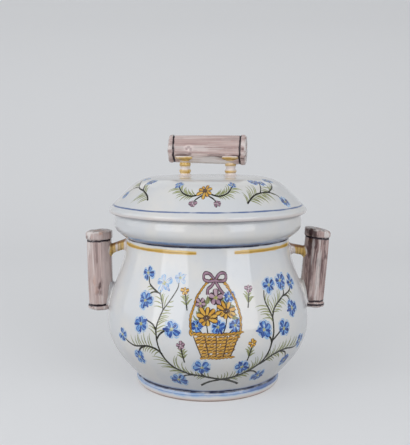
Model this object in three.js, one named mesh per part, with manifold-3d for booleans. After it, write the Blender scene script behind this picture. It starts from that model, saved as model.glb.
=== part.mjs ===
// A lidded jar in tin-glazed earthenware, with a handle like a cut log on each side and on the lid.
// Millimetres, +Z up. The jar stands on z = 0, its axis is the Z axis and its painted front faces -Y.
import * as THREE from "three";
import { mergeVertices } from "three/addons/utils/BufferGeometryUtils.js";
import Module from "manifold-3d";

const wasm = await Module();
wasm.setup();

// Driving dimensions: each height is above the table and each radius is from the jar's axis
const HEIGHT = 239;
const FOOT = { radius: 69.3, height: 9.5, contactInner: 60.8, contactOuter: 68.4 };
const BELLY = { radius: 97.7, height: 62 };
const NECK = { radius: 78.6, height: 142 };
const COLLAR = { radius: 90.1, height: 155 };
const SEAT = { inner: 81, outer: 87.9, height: 165.2 };
const LID = { radius: 94.8, lipInner: 91.6, slopeTop: 76, height: 200 };
const RING = { inner: 75.5, outer: 79.3, drop: 7.4 };
const WALL = 6;

// The joints are filled with slip on the real jar; here they stay open by this much
const LUTE = 0.3;

// Both side handles are one pattern, set a little differently on each side by hand
const SIDE_LOG = { length: 78.4, radius: 11.7, capRadius: 12.7, highCap: 9, lowCap: 5.5, taper: 0 };
const LEFT_SET = { reach: 105.4, height: 108.6, lean: 0.7, strutLow: 129, strutRise: 5 };
const RIGHT_SET = { reach: 104.4, height: 111.1, lean: 4.2, strutLow: 127.4, strutRise: 2.4 };

// Their top discs were cut freehand: the top face slopes up towards the jar, and lies lower by the drop
const LEFT_CUT = { slope: 0.04, drop: 0.3 };
const RIGHT_CUT = { slope: 0.13, drop: 1 };

// The lid's log is heavier and thicker at its right end, turned a little towards the front, and that
// end lies a little lower
const LID_LOG = { length: 75.2, radius: 13.4, capRadius: 14, highCap: 6, lowCap: 5, taper: 0.045 };
const LID_LOG_TURN = -6;
const LID_LOG_TILT = 1;
const POST_SPACING = 44;

// How finely the round forms are divided
const TURNED_SIDES = 56;
const LOG_SIDES = 24;
const POST_SIDES = 20;
const WALL_STEPS = 5;
const LID_STEPS = 4;
const RING_STEPS = 3;
const ROLL_STEPS = 4;
const CAP_STEPS = 2;

const WHITE_GLAZE = { color: 0xdadcde, roughness: 0.18, metalness: 0 };
const MAUVE_GLAZE = { color: 0xb39ca0, roughness: 0.24, metalness: 0 };
const OCHRE_GLAZE = { color: 0xcfae62, roughness: 0.22, metalness: 0 };

// Solids, cuts and named pieces

const MERGE_DISTANCE = 1e-4;

function solidOf(geometry) {
  const bare = geometry.clone();
  bare.deleteAttribute("normal");
  bare.deleteAttribute("uv");
  const merged = mergeVertices(bare, MERGE_DISTANCE);
  return new wasm.Manifold(
    new wasm.Mesh({
      numProp: 3,
      vertProperties: new Float32Array(merged.attributes.position.array),
      triVerts: new Uint32Array(merged.index.array),
    }),
  );
}

function geometryOf(solid) {
  const mesh = solid.getMesh();
  const geometry = new THREE.BufferGeometry();
  geometry.setAttribute("position", new THREE.BufferAttribute(mesh.vertProperties, 3));
  geometry.setIndex(new THREE.BufferAttribute(mesh.triVerts, 1));
  geometry.computeVertexNormals();
  return geometry;
}

function piece(name, geometry, finish) {
  const mesh = new THREE.Mesh(geometry, new THREE.MeshStandardMaterial(finish));
  mesh.name = name;
  return mesh;
}

// Takes cutters, given where they stand in the jar, out of a piece that is in its place
function trim(mesh, ...cutters) {
  mesh.updateWorldMatrix(true, false);
  const toPiece = mesh.matrixWorld.clone().invert();
  let solid = solidOf(mesh.geometry);
  for (const cutter of cutters) {
    solid = solid.subtract(solidOf(cutter.clone().applyMatrix4(toPiece)));
  }
  mesh.geometry = geometryOf(solid);
}

function standing(geometry, holder) {
  holder.updateWorldMatrix(true, false);
  return geometry.applyMatrix4(holder.matrixWorld);
}

function revolve(outline, steps, sides) {
  return new THREE.LatheGeometry(outline.getPoints(steps), sides).rotateX(Math.PI / 2);
}

// The thrown wall: every outline below is drawn as (radius, height)

// Adds the outside of the wall, from the foot to the neck; a cutter is grown outwards a little
function addWallOutside(outline, grow) {
  const foot = FOOT.radius + grow;
  const belly = BELLY.radius + grow;
  const neck = NECK.radius + grow;
  outline.bezierCurveTo(foot + 15, FOOT.height + 17, belly, BELLY.height - 22, belly, BELLY.height);
  outline.bezierCurveTo(belly, BELLY.height + 30, neck, NECK.height - 28, neck, NECK.height);
}

function jarBody() {
  const floor = FOOT.height + 7.5;
  const belly = BELLY.radius - WALL;
  const neck = NECK.radius - WALL;
  const outline = new THREE.Path();
  outline.moveTo(0, FOOT.height + 1.6);
  outline.quadraticCurveTo(38, FOOT.height + 1.4, 58, FOOT.height);
  outline.lineTo(FOOT.radius, FOOT.height);
  addWallOutside(outline, 0);
  outline.lineTo(neck, NECK.height);
  outline.bezierCurveTo(neck, NECK.height - 28, belly, BELLY.height + 30, belly, BELLY.height);
  outline.bezierCurveTo(belly, BELLY.height - 22, 78, floor + 1, 54, floor);
  outline.lineTo(0, floor);
  return revolve(outline, WALL_STEPS, TURNED_SIDES);
}

function wallCutter() {
  const top = NECK.height + WALL / 2;
  const outline = new THREE.Path();
  outline.moveTo(0, FOOT.height);
  outline.lineTo(FOOT.radius + LUTE, FOOT.height);
  addWallOutside(outline, LUTE);
  outline.lineTo(NECK.radius + LUTE, top);
  outline.lineTo(0, top);
  return revolve(outline, WALL_STEPS, TURNED_SIDES);
}

// The foot is a turned ring under the floor, rounded outside; only its flat underside meets the table
function footRing() {
  const top = FOOT.height - LUTE;
  const inner = FOOT.contactInner;
  const outer = FOOT.contactOuter;
  const outline = new THREE.Path();
  outline.moveTo(inner, 0);
  outline.lineTo(outer, 0);
  outline.bezierCurveTo(outer + 2, 1.4, outer + 3, 5.4, FOOT.radius, top);
  outline.lineTo(inner - 2.6, top);
  outline.quadraticCurveTo(inner - 1.2, 4, inner - 1, 1.2);
  outline.lineTo(inner, 0);
  return revolve(outline, RING_STEPS, TURNED_SIDES);
}

// The collar swells out over the neck in a wall of even thickness, and its flat top is the lid's seat
function addCollarOutside(outline, grow) {
  const neck = NECK.radius;
  const base = NECK.height + LUTE - grow;
  const bulge = COLLAR.radius + grow;
  const middle = COLLAR.height;
  const seat = SEAT.outer + grow;
  outline.lineTo(neck, base);
  outline.bezierCurveTo(neck + 5.6 + grow, base + 3.6, bulge, middle - 6, bulge, middle);
  outline.bezierCurveTo(bulge, middle + 5, seat + 1.7, SEAT.height - 2, seat, SEAT.height);
}

function neckCollar() {
  const base = NECK.height + LUTE;
  const middle = COLLAR.height;
  const inside = SEAT.inner;
  const outline = new THREE.Path();
  outline.moveTo(NECK.radius - WALL, base);
  addCollarOutside(outline, 0);
  outline.lineTo(inside, SEAT.height);
  outline.bezierCurveTo(inside + 2.4, SEAT.height - 5, inside + 4, middle, inside + 0.6, middle - 5);
  outline.quadraticCurveTo(NECK.radius, base + 4, NECK.radius - WALL, base);
  return revolve(outline, RING_STEPS, TURNED_SIDES);
}

function collarCutter() {
  const outline = new THREE.Path();
  outline.moveTo(0, NECK.height);
  addCollarOutside(outline, LUTE);
  outline.lineTo(0, SEAT.height);
  return revolve(outline, RING_STEPS, TURNED_SIDES);
}

// The lid has a rounded lip that overhangs the collar, a straight slope, a round shoulder and a flat
// crown, with its outside drawn from the underside of the lip to the middle of the crown
function addLidOutside(outline, grow) {
  const lip = LID.radius;
  const slope = LID.slopeTop;
  const crown = LID.height + grow;
  outline.quadraticCurveTo(lip, SEAT.height + 0.5, lip, SEAT.height + 3.2);
  outline.quadraticCurveTo(lip, SEAT.height + 4.8 + grow, lip - 1.8, SEAT.height + 6.2 + grow);
  outline.lineTo(slope, crown - 12);
  outline.bezierCurveTo(slope - 5, crown - 7, slope - 11, crown - 2.6, slope - 21, crown - 1.2);
  outline.bezierCurveTo(slope - 34, crown - 0.2, slope - 52, crown, 0, crown);
}

function lidDome() {
  const underside = SEAT.height + LUTE;
  const ceiling = LID.height - WALL;
  const inside = RING.inner;
  const outline = new THREE.Path();
  outline.moveTo(0, ceiling);
  outline.quadraticCurveTo(34, ceiling, 52, ceiling - 2.4);
  outline.bezierCurveTo(62, ceiling - 2.2, inside - 8.5, ceiling - 7, inside - 4, ceiling - 12);
  outline.bezierCurveTo(inside + 0.5, ceiling - 17, inside + 1.9, underside + 6.5, inside, underside);
  outline.lineTo(LID.lipInner, underside);
  addLidOutside(outline, 0);
  return revolve(outline, LID_STEPS, TURNED_SIDES);
}

function lidCutter() {
  const outline = new THREE.Path();
  outline.moveTo(0, SEAT.height);
  outline.lineTo(LID.lipInner, SEAT.height);
  addLidOutside(outline, LUTE);
  return revolve(outline, LID_STEPS, TURNED_SIDES);
}

// The ring luted under the lid drops inside the collar and keeps the lid centred; its tip leads it in
function lidLocatingRing() {
  const tip = SEAT.height - RING.drop;
  const outline = new THREE.Path();
  outline.moveTo(RING.inner + 0.7, tip);
  outline.lineTo(RING.outer - 1.5, tip);
  outline.lineTo(RING.outer, tip + 2.2);
  outline.lineTo(RING.outer, SEAT.height);
  outline.lineTo(RING.inner, SEAT.height);
  outline.lineTo(RING.inner, tip + 0.8);
  outline.lineTo(RING.inner + 0.7, tip);
  return revolve(outline, 1, TURNED_SIDES);
}

// Logs: a pierced roll of clay, pared to soft lengthwise flats, and a thicker disc closing each end

const PIERCING_RADIUS = 5.5;
const PLUG_LENGTH = 4;
const EDGE = 1;
const BARREL = 0.5;
const FLATS = 8;
const FLAT_DEPTH = 0.018;

// Presses soft flats into a round form, and swells it evenly from its low end to its high end
function pare(geometry, log) {
  const spot = geometry.attributes.position;
  for (let i = 0; i < spot.count; i += 1) {
    const turn = Math.atan2(spot.getY(i), spot.getX(i));
    const flat = 1 - FLAT_DEPTH * Math.cos(FLATS * turn);
    const swell = 1 + (log.taper * spot.getZ(i)) / (log.length / 2);
    spot.setXY(i, spot.getX(i) * flat * swell, spot.getY(i) * flat * swell);
  }
  return geometry;
}

function logRoll(log) {
  const low = log.lowCap + LUTE - log.length / 2;
  const high = log.length / 2 - log.highCap - LUTE;
  const radius = log.radius;
  const outline = new THREE.Path();
  outline.moveTo(PIERCING_RADIUS, low);
  outline.lineTo(radius - EDGE, low);
  outline.lineTo(radius, low + EDGE);
  outline.quadraticCurveTo(radius + BARREL, (low + high) / 2, radius, high - EDGE);
  outline.lineTo(radius - EDGE, high);
  outline.lineTo(PIERCING_RADIUS, high);
  outline.lineTo(PIERCING_RADIUS, low);
  return pare(revolve(outline, ROLL_STEPS, LOG_SIDES), log);
}

// The room that a strut or post leaves for the log it carries
function logCutter(log) {
  const end = log.length / 2;
  const radius = log.radius + LUTE;
  const outline = new THREE.Path();
  outline.moveTo(0, -end);
  outline.lineTo(radius, -end);
  outline.quadraticCurveTo(radius + BARREL, 0, radius, end);
  outline.lineTo(0, end);
  return pare(revolve(outline, ROLL_STEPS, LOG_SIDES), log);
}

// Slants the outer face of a disc, which is all that lies from the given height upwards
function slant(geometry, from, cut) {
  const spot = geometry.attributes.position;
  for (let i = 0; i < spot.count; i += 1) {
    if (spot.getZ(i) > from) {
      spot.setZ(i, spot.getZ(i) + cut.slope * spot.getX(i) - cut.drop);
    }
  }
}

// The disc lies beyond the roll's end, with a short plug that seats in the piercing
function logCap(log, isHigh, cut) {
  const outer = log.length / 2;
  const inner = outer - (isHigh ? log.highCap : log.lowCap);
  const radius = log.capRadius;
  const plug = PIERCING_RADIUS - LUTE;
  const outline = new THREE.Path();
  outline.moveTo(0, inner - PLUG_LENGTH);
  outline.lineTo(plug - EDGE / 2, inner - PLUG_LENGTH);
  outline.lineTo(plug, inner - PLUG_LENGTH + EDGE);
  outline.lineTo(plug, inner);
  outline.lineTo(radius - EDGE, inner);
  outline.lineTo(radius, inner + EDGE);
  outline.lineTo(radius, outer - 2.4);
  outline.quadraticCurveTo(radius - 0.2, outer - 0.9, radius - 1.8, outer - 0.6);
  outline.quadraticCurveTo(radius * 0.4, outer, 0, outer);
  const disc = revolve(outline, CAP_STEPS, LOG_SIDES);
  if (cut) {
    slant(disc, inner + EDGE * 2, cut);
  }
  if (!isHigh) {
    disc.rotateX(Math.PI);
  }
  return pare(disc, log);
}

function makeLog(log, names, topCut) {
  const whole = new THREE.Group();
  whole.add(piece(names.roll, logRoll(log), MAUVE_GLAZE));
  whole.add(piece(names.high, logCap(log, true, topCut), MAUVE_GLAZE));
  whole.add(piece(names.low, logCap(log, false), MAUVE_GLAZE));
  return whole;
}

// Side handles: the log stands against the belly, and a short strut ties its top to the neck

const STRUT = { length: 38, waist: 5, flare: 6.8 };

function strutForm() {
  const half = STRUT.length / 2;
  const outline = new THREE.Path();
  outline.moveTo(0, -half);
  outline.lineTo(STRUT.flare + 1, -half);
  outline.bezierCurveTo(STRUT.flare, -7, STRUT.waist, -5, STRUT.waist, 0);
  outline.bezierCurveTo(STRUT.waist, 4, STRUT.flare - 0.6, 6, STRUT.flare + 0.4, half);
  outline.lineTo(0, half);
  return revolve(outline, 5, POST_SIDES);
}

function sideHandle(side, set, topCut) {
  const arm = new THREE.Group();
  arm.rotation.z = side === "right" ? Math.PI : 0;

  const names = {
    roll: side + "_handle_log",
    high: side + "_handle_top_cap",
    low: side + "_handle_bottom_cap",
  };
  const log = makeLog(SIDE_LOG, names, topCut);
  log.position.set(-set.reach, 0, set.height);
  log.rotation.y = THREE.MathUtils.degToRad(-set.lean);
  arm.add(log);

  const strut = piece(side + "_handle_strut", strutForm(), OCHRE_GLAZE);
  const span = set.reach - SIDE_LOG.radius - NECK.radius;
  const along = new THREE.Vector3(span, 0, set.strutRise).normalize();
  const middle = new THREE.Vector3(-NECK.radius - span / 2, 0, set.strutLow + set.strutRise / 2);
  strut.position.copy(middle);
  strut.quaternion.setFromUnitVectors(new THREE.Vector3(0, 0, 1), along);
  arm.add(strut);

  const wall = wallCutter();
  for (const part of [...log.children]) {
    trim(part, wall);
  }
  trim(strut, wall, collarCutter(), standing(logCutter(SIDE_LOG), log));
  return arm;
}

// Lid handle: two posts on the flat top, each spread at its head into a saddle that cradles the log
// and comes a good way up its front and back

const POST = { base: 6.4, waist: 4.8, bead: 5.8, saddle: 8.2, saddleDepth: 14.8, seatBelowAxis: 6.2 };

function postForm(bottom, top) {
  const rise = top - bottom;
  const outline = new THREE.Path();
  outline.moveTo(0, bottom);
  outline.lineTo(POST.base, bottom);
  outline.quadraticCurveTo(POST.waist, bottom + rise * 0.16, POST.waist, bottom + rise * 0.24);
  outline.quadraticCurveTo(POST.bead, bottom + rise * 0.32, POST.waist, bottom + rise * 0.4);
  outline.quadraticCurveTo(POST.bead, bottom + rise * 0.5, POST.waist, bottom + rise * 0.6);
  outline.quadraticCurveTo(POST.waist + 0.4, bottom + rise * 0.8, POST.saddle, top - 2);
  outline.lineTo(POST.saddle - 0.6, top);
  outline.lineTo(0, top);
  const form = revolve(outline, 3, POST_SIDES);
  const spot = form.attributes.position;
  for (let i = 0; i < spot.count; i += 1) {
    const up = Math.max(0, (spot.getZ(i) - bottom) / rise);
    spot.setY(i, spot.getY(i) * (1 + (POST.saddleDepth / POST.saddle - 1) * up));
  }
  return form;
}

function lidHandle() {
  const handle = new THREE.Group();
  handle.rotation.z = THREE.MathUtils.degToRad(LID_LOG_TURN);

  const axisHeight = HEIGHT - LID_LOG.capRadius * (1 - FLAT_DEPTH);
  const log = makeLog(LID_LOG, {
    roll: "lid_handle_log",
    high: "lid_handle_right_cap",
    low: "lid_handle_left_cap",
  });
  log.position.set(0, 0, axisHeight);
  log.rotation.y = Math.PI / 2 + THREE.MathUtils.degToRad(LID_LOG_TILT);
  handle.add(log);

  for (const [name, x] of [
    ["lid_handle_left_post", -POST_SPACING / 2],
    ["lid_handle_right_post", POST_SPACING / 2],
  ]) {
    const form = postForm(LID.height - 3, axisHeight - POST.seatBelowAxis);
    const post = piece(name, form, OCHRE_GLAZE);
    post.position.x = x;
    handle.add(post);
    trim(post, lidCutter(), standing(logCutter(LID_LOG), log));
  }
  return handle;
}

// The whole jar

const jar = new THREE.Group();
jar.add(piece("jar_body", jarBody(), WHITE_GLAZE));
jar.add(piece("foot_ring", footRing(), WHITE_GLAZE));
jar.add(piece("neck_collar", neckCollar(), WHITE_GLAZE));
jar.add(sideHandle("left", LEFT_SET, LEFT_CUT));
jar.add(sideHandle("right", RIGHT_SET, RIGHT_CUT));

const lid = new THREE.Group();
lid.add(piece("lid_dome", lidDome(), WHITE_GLAZE));
lid.add(piece("lid_locating_ring", lidLocatingRing(), WHITE_GLAZE));
lid.add(lidHandle());

const liddedJar = new THREE.Group();
liddedJar.add(jar, lid);

export default liddedJar;
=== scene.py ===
import math

import bmesh
import bpy
from mathutils import Matrix, Vector, noise
from mathutils.bvhtree import BVHTree


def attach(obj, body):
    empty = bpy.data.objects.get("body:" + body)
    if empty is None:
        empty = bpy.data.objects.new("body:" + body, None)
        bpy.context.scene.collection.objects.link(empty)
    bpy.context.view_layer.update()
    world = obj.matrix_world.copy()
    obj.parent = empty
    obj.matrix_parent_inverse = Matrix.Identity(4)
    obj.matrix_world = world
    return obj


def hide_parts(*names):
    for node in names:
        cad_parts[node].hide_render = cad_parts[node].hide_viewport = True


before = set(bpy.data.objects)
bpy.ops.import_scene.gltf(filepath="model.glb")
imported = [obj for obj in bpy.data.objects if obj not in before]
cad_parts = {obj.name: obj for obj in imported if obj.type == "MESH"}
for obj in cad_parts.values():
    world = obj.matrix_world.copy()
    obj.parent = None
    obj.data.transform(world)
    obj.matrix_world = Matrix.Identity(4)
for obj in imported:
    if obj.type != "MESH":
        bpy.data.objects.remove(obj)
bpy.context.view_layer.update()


# The camera stands at the photographed distance, level with the lid's log and a little left of
# the jar's axis, and looks seven degrees down.

def set_in_scene(name, data):
    """Puts a camera, a lamp, a curve or a mesh into the scene."""
    made = bpy.data.objects.new(name, data)
    bpy.context.scene.collection.objects.link(made)
    return made


CAMERA_PLACE = (-0.0027, -0.668, 0.2364)
CAMERA_DROP = 6.99
LENS = 56.0
FILM_WIDTH = 36.0

camera_data = bpy.data.cameras.new("camera")
camera_data.lens = LENS
camera_data.sensor_width = FILM_WIDTH
camera = set_in_scene("camera", camera_data)
camera.location = CAMERA_PLACE
camera.rotation_euler = (math.radians(90 - CAMERA_DROP), 0, 0)
bpy.context.scene.camera = camera
bpy.context.scene.view_settings.view_transform = "Standard"


# The studio: one pale sheet of card that lies under the jar and curves up behind it, greyer where the
# lamps stand over it as painted shade that dims their pool of light, and glowing a little where it is
# seen, and a tall soft lamp on each side in front, with weaker ones at the sides and behind.

def node(tree, kind, inputs=None, **settings):
    """Adds a node, with its settings and its inputs, each one a value or another node's output."""
    made = tree.nodes.new(kind)
    for setting, value in settings.items():
        setattr(made, setting, value)
    for socket, value in (inputs or {}).items():
        if isinstance(value, bpy.types.NodeSocket):
            tree.links.new(value, made.inputs[socket])
        else:
            made.inputs[socket].default_value = value
    return made


def math_node(tree, operation, *values):
    return node(tree, "ShaderNodeMath", dict(enumerate(values)), operation=operation).outputs[0]


def times(tree, first, *others):
    for other in others:
        first = math_node(tree, "MULTIPLY", first, other)
    return first


def plus(tree, first, second):
    return math_node(tree, "ADD", first, second)


def minus(tree, first, second):
    return math_node(tree, "SUBTRACT", first, second)


def times_plus(tree, first, second, third):
    return math_node(tree, "MULTIPLY_ADD", first, second, third)


def fade(tree, value, low, high):
    """0 at low, 1 at high and a soft change between them. Low may be the greater of the two."""
    return node(tree, "ShaderNodeMapRange", {"Value": value, "From Min": low, "From Max": high},
                interpolation_type="SMOOTHSTEP").outputs["Result"]


def colour_mix(tree, share, first, second):
    return node(tree, "ShaderNodeMix", {0: share, 6: first, 7: second}, data_type="RGBA").outputs[2]


def parts_of(tree, vector):
    """A vector's X, Y and Z."""
    return node(tree, "ShaderNodeSeparateXYZ", {0: vector}).outputs


def own_place(tree):
    """Where a spot of a piece lies, in the jar's frame."""
    return node(tree, "ShaderNodeTexCoord").outputs["Object"]


def srgb(red, green, blue):
    """A colour given as it is seen, 0 to 255, turned into the light it reflects."""
    def light(level):
        share = level / 255
        return share / 12.92 if share <= 0.04045 else ((share + 0.055) / 1.055) ** 2.4
    return (light(red), light(green), light(blue), 1.0)


def seen_directly(tree):
    """1 where the eye, a mirror or clear glass looks at the backdrop, and 0 where it only lights the jar."""
    ray = node(tree, "ShaderNodeLightPath").outputs
    mirrored = math_node(tree, "MAXIMUM", ray["Is Glossy Ray"], ray["Is Transmission Ray"])
    return math_node(tree, "MAXIMUM", ray["Is Camera Ray"], mirrored)


def plain_mesh(name, points, faces):
    mesh = bpy.data.meshes.new(name)
    mesh.from_pydata(points, [], faces)
    mesh.shade_smooth()
    return mesh


CARD_WIDTH = 16.0
CARD_FRONT = -9.0
CARD_BACK = 1.6
CARD_BEND = 0.9
CARD_TOP = 3.0
BEND_STEPS = 16
CARD_COLOUR = srgb(180, 182, 185)
LAMP_POOL_SHADE = srgb(110, 111, 113)
CARD_SHADE = srgb(146, 147, 149)
CARD_ROUGHNESS = 0.9
CARD_LIGHT = (0.97, 0.98, 1.0, 1.0)
CARD_GLOW = 0.32
GREY_GLOW = 0.14
GREY_ASIDE = 0.3
GREY_STARTS = 0.45
GREY_FULL = 0.85

card_side = [(CARD_FRONT, 0.0), (CARD_BACK - CARD_BEND, 0.0)]
for step in range(1, BEND_STEPS + 1):
    turn = math.pi / 2 * step / BEND_STEPS
    ahead = CARD_BEND * math.sin(turn)
    card_side.append((CARD_BACK - CARD_BEND + ahead, CARD_BEND - CARD_BEND * math.cos(turn)))
card_side.append((CARD_BACK, CARD_TOP))
card_points = [(x, y, z) for y, z in card_side for x in (-CARD_WIDTH / 2, CARD_WIDTH / 2)]
card_faces = [(2 * i, 2 * i + 1, 2 * i + 3, 2 * i + 2) for i in range(len(card_side) - 1)]
card_finish = bpy.data.materials.new("matt card")
card_finish.use_nodes = True
tree = card_finish.node_tree
card_shader = tree.nodes["Principled BSDF"].inputs
card_shader["Roughness"].default_value = CARD_ROUGHNESS
card_shader["Emission Color"].default_value = CARD_LIGHT
seen = seen_directly(tree)
spot = parts_of(tree, own_place(tree))
# Painted shade: the card turns greyer under the lamps, where they light it most, to dim their pool of light
# on it.
aside = minus(tree, math_node(tree, "ABSOLUTE", spot["X"]), GREY_ASIDE)
under_lamps = math_node(tree, "MAXIMUM", aside, times(tree, spot["Y"], -1))
under_lamps = fade(tree, under_lamps, GREY_STARTS, GREY_FULL)
colour = colour_mix(tree, seen, CARD_SHADE, colour_mix(tree, under_lamps, CARD_COLOUR, LAMP_POOL_SHADE))
tree.links.new(colour, card_shader["Base Color"])
glow = times_plus(tree, under_lamps, GREY_GLOW, CARD_GLOW)
tree.links.new(times(tree, seen, glow), card_shader["Emission Strength"])
card = set_in_scene("card", plain_mesh("card", card_points, card_faces))
card.data.materials.append(card_finish)

LAMPS_AIM = Vector((0, 0, 0.12))
LAMPS = [  # name, place, width, height and power
    ("left lamp", (-0.98, -1.00, 0.54), 0.94, 1.0, 8.6),
    ("right lamp", (0.90, -1.06, 0.54), 0.82, 1.0, 7.3),
    ("left side lamp", (-1.60, -0.15, 0.74), 1.7, 1.4, 6.4),
    ("right side lamp", (1.60, -0.15, 0.74), 1.7, 1.4, 3.6),
    ("back lamp", (0.0, 1.10, 1.10), 1.6, 0.8, 2.0),
]
for name, place, width, height, power in LAMPS:
    lamp_data = bpy.data.lights.new(name, "AREA")
    lamp_data.shape = "RECTANGLE"
    lamp_data.size = width
    lamp_data.size_y = height
    lamp_data.energy = power
    lamp = set_in_scene(name, lamp_data)
    lamp.location = place
    lamp.rotation_euler = (LAMPS_AIM - Vector(place)).to_track_quat("-Z", "Y").to_euler()

ROOM_LIGHT = (0.98, 0.99, 1.0, 1.0)
ROOM_STRENGTH = 0.38
BEYOND_CARD = srgb(192, 194, 197)
room = bpy.data.worlds.new("room")
room.use_nodes = True
tree = room.node_tree
room_light = tree.nodes["Background"]
room_light.inputs["Color"].default_value = ROOM_LIGHT
room_light.inputs["Strength"].default_value = ROOM_STRENGTH
beyond = node(tree, "ShaderNodeBackground", {"Color": BEYOND_CARD, "Strength": 1.0}).outputs[0]
mixed = node(tree, "ShaderNodeMixShader", {0: seen_directly(tree), 1: room_light.outputs[0], 2: beyond})
tree.links.new(mixed.outputs[0], tree.nodes["World Output"].inputs["Surface"])
bpy.context.scene.world = room


# The thrown wall: clay thrown on the wheel in one pull, from the recessed floor up to the neck,
# dipped in white tin glaze. The glaze is glossy and uneven, with a few iron specks in it.

MM = 0.001
WALL = 6.0
FOOT_RADIUS = 69.3
FOOT_HEIGHT = 9.5
FLOOR_TOP = FOOT_HEIGHT + 7.5
BELLY_RADIUS = 97.7
BELLY_HEIGHT = 62.0
NECK_RADIUS = 78.6
NECK_HEIGHT = 142.0
OUTLINE_STEPS = 14
TURNED_SIDES = 180
CRISP_ANGLE = math.radians(40)
POLE_WELD = 2e-6
GLAZE_IOR = 1.5
GLAZE_COOL = srgb(214, 217, 221)
GLAZE_WARM = srgb(223, 222, 220)
GLAZE_VEIL = srgb(203, 206, 211)
GLOSS = (0.05, 0.11)
IRON = srgb(120, 100, 98)
SPECKS_ABOVE = 0.86
SPECK_SIZE = 0.026
SPECK_DENT = 0.00003
WAVE_DEPTH = 0.00010
RIPPLE_DEPTH = 0.000012


def outline_of(name, start, *spans):
    """Draws a turned piece's outline as (radius, height) in mm.

    A span is a point, or two handles and a point."""
    corners = [Vector((start[0], 0, start[1]))]
    handles_out, handles_in = [], [corners[0]]
    for span in spans:
        here = corners[-1]
        end = Vector((span[-2], 0, span[-1]))
        if len(span) == 2:
            handles_out.append(here.lerp(end, 1 / 3))
            handles_in.append(here.lerp(end, 2 / 3))
        else:
            handles_out.append(Vector((span[0], 0, span[1])))
            handles_in.append(Vector((span[2], 0, span[3])))
        corners.append(end)
    handles_out.append(corners[-1])
    drawn = bpy.data.curves.new(name + " outline", "CURVE")
    drawn.dimensions = "3D"
    drawn.resolution_u = OUTLINE_STEPS
    spline = drawn.splines.new("BEZIER")
    spline.bezier_points.add(len(corners) - 1)
    for point, corner, handle_in, handle_out in zip(spline.bezier_points, corners, handles_in, handles_out):
        point.handle_left_type = "FREE"
        point.handle_right_type = "FREE"
        point.co = corner * MM
        point.handle_left = handle_in * MM
        point.handle_right = handle_out * MM
    return set_in_scene(name + " outline", drawn)


def add_input(tree, name, kind, value=None):
    socket = tree.interface.new_socket(name, in_out="INPUT", socket_type=kind)
    if value is not None:
        socket.default_value = value


def vector_node(tree, x, y, z):
    return node(tree, "ShaderNodeCombineXYZ", {"X": x, "Y": y, "Z": z}).outputs[0]


def here(tree):
    """Where the point lies that a geometry tree works on."""
    return node(tree, "GeometryNodeInputPosition").outputs["Position"]


def smooth_to(tree, geometry, angle):
    """Shades a mesh smooth, but keeps the edges crisp that bend more than an angle."""
    smooth = node(tree, "GeometryNodeSetShadeSmooth", {"Geometry": geometry}, domain="FACE").outputs[0]
    bend = node(tree, "GeometryNodeInputMeshEdgeAngle").outputs["Unsigned Angle"]
    crisp = math_node(tree, "GREATER_THAN", bend, angle)
    return node(tree, "GeometryNodeSetShadeSmooth",
                {"Geometry": smooth, "Selection": crisp, "Shade Smooth": False}, domain="EDGE").outputs[0]


def end_tree(tree, geometry, material):
    """Ends a geometry tree: what is instanced becomes real and takes its material."""
    real = node(tree, "GeometryNodeRealizeInstances", {"Geometry": geometry}).outputs[0]
    finished = node(tree, "GeometryNodeSetMaterial", {"Geometry": real, "Material": material}).outputs[0]
    node(tree, "NodeGroupOutput", {"Geometry": finished})


def wheel_nodes():
    """The wheel: turns an outline round the jar's axis, closes its poles and keeps its corners crisp."""
    tree = bpy.data.node_groups.new("turn on the wheel", "GeometryNodeTree")
    add_input(tree, "Geometry", "NodeSocketGeometry")
    add_input(tree, "Outline", "NodeSocketObject")
    add_input(tree, "Sides", "NodeSocketInt", TURNED_SIDES)
    add_input(tree, "Crisp above", "NodeSocketFloat", CRISP_ANGLE)
    add_input(tree, "Glaze", "NodeSocketMaterial")
    tree.interface.new_socket("Geometry", in_out="OUTPUT", socket_type="NodeSocketGeometry")
    given = node(tree, "NodeGroupInput").outputs
    drawn = node(tree, "GeometryNodeObjectInfo", {"Object": given["Outline"]}).outputs["Geometry"]
    points = node(tree, "GeometryNodeResampleCurve", {"Curve": drawn}, mode="EVALUATED").outputs["Curve"]
    rows = node(tree, "GeometryNodeAttributeDomainSize", {"Geometry": points}, component="CURVE")
    rows = rows.outputs["Point Count"]
    columns = plus(tree, given["Sides"], 1.0)
    grid = node(tree, "GeometryNodeMeshGrid", {"Vertices X": columns, "Vertices Y": rows}).outputs["Mesh"]
    index = node(tree, "GeometryNodeInputIndex").outputs["Index"]
    row = math_node(tree, "MODULO", index, rows)
    column = math_node(tree, "FLOOR", math_node(tree, "DIVIDE", plus(tree, index, 0.5), rows))
    drawn_at = node(tree, "GeometryNodeSampleIndex", {"Geometry": points, "Value": here(tree), "Index": row},
                    data_type="FLOAT_VECTOR", domain="POINT").outputs["Value"]
    drawn_at = parts_of(tree, drawn_at)
    turn = times(tree, math_node(tree, "DIVIDE", column, given["Sides"]), 2 * math.pi)
    x = times(tree, drawn_at["X"], math_node(tree, "COSINE", turn))
    y = times(tree, drawn_at["X"], math_node(tree, "SINE", turn))
    turned = node(tree, "GeometryNodeSetPosition",
                  {"Geometry": grid, "Position": vector_node(tree, x, y, drawn_at["Z"])}).outputs[0]
    closed = node(tree, "GeometryNodeMergeByDistance",
                  {"Geometry": turned, "Distance": POLE_WELD}).outputs[0]
    end_tree(tree, smooth_to(tree, closed, given["Crisp above"]), given["Glaze"])
    return tree


WHEEL = wheel_nodes()


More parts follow.
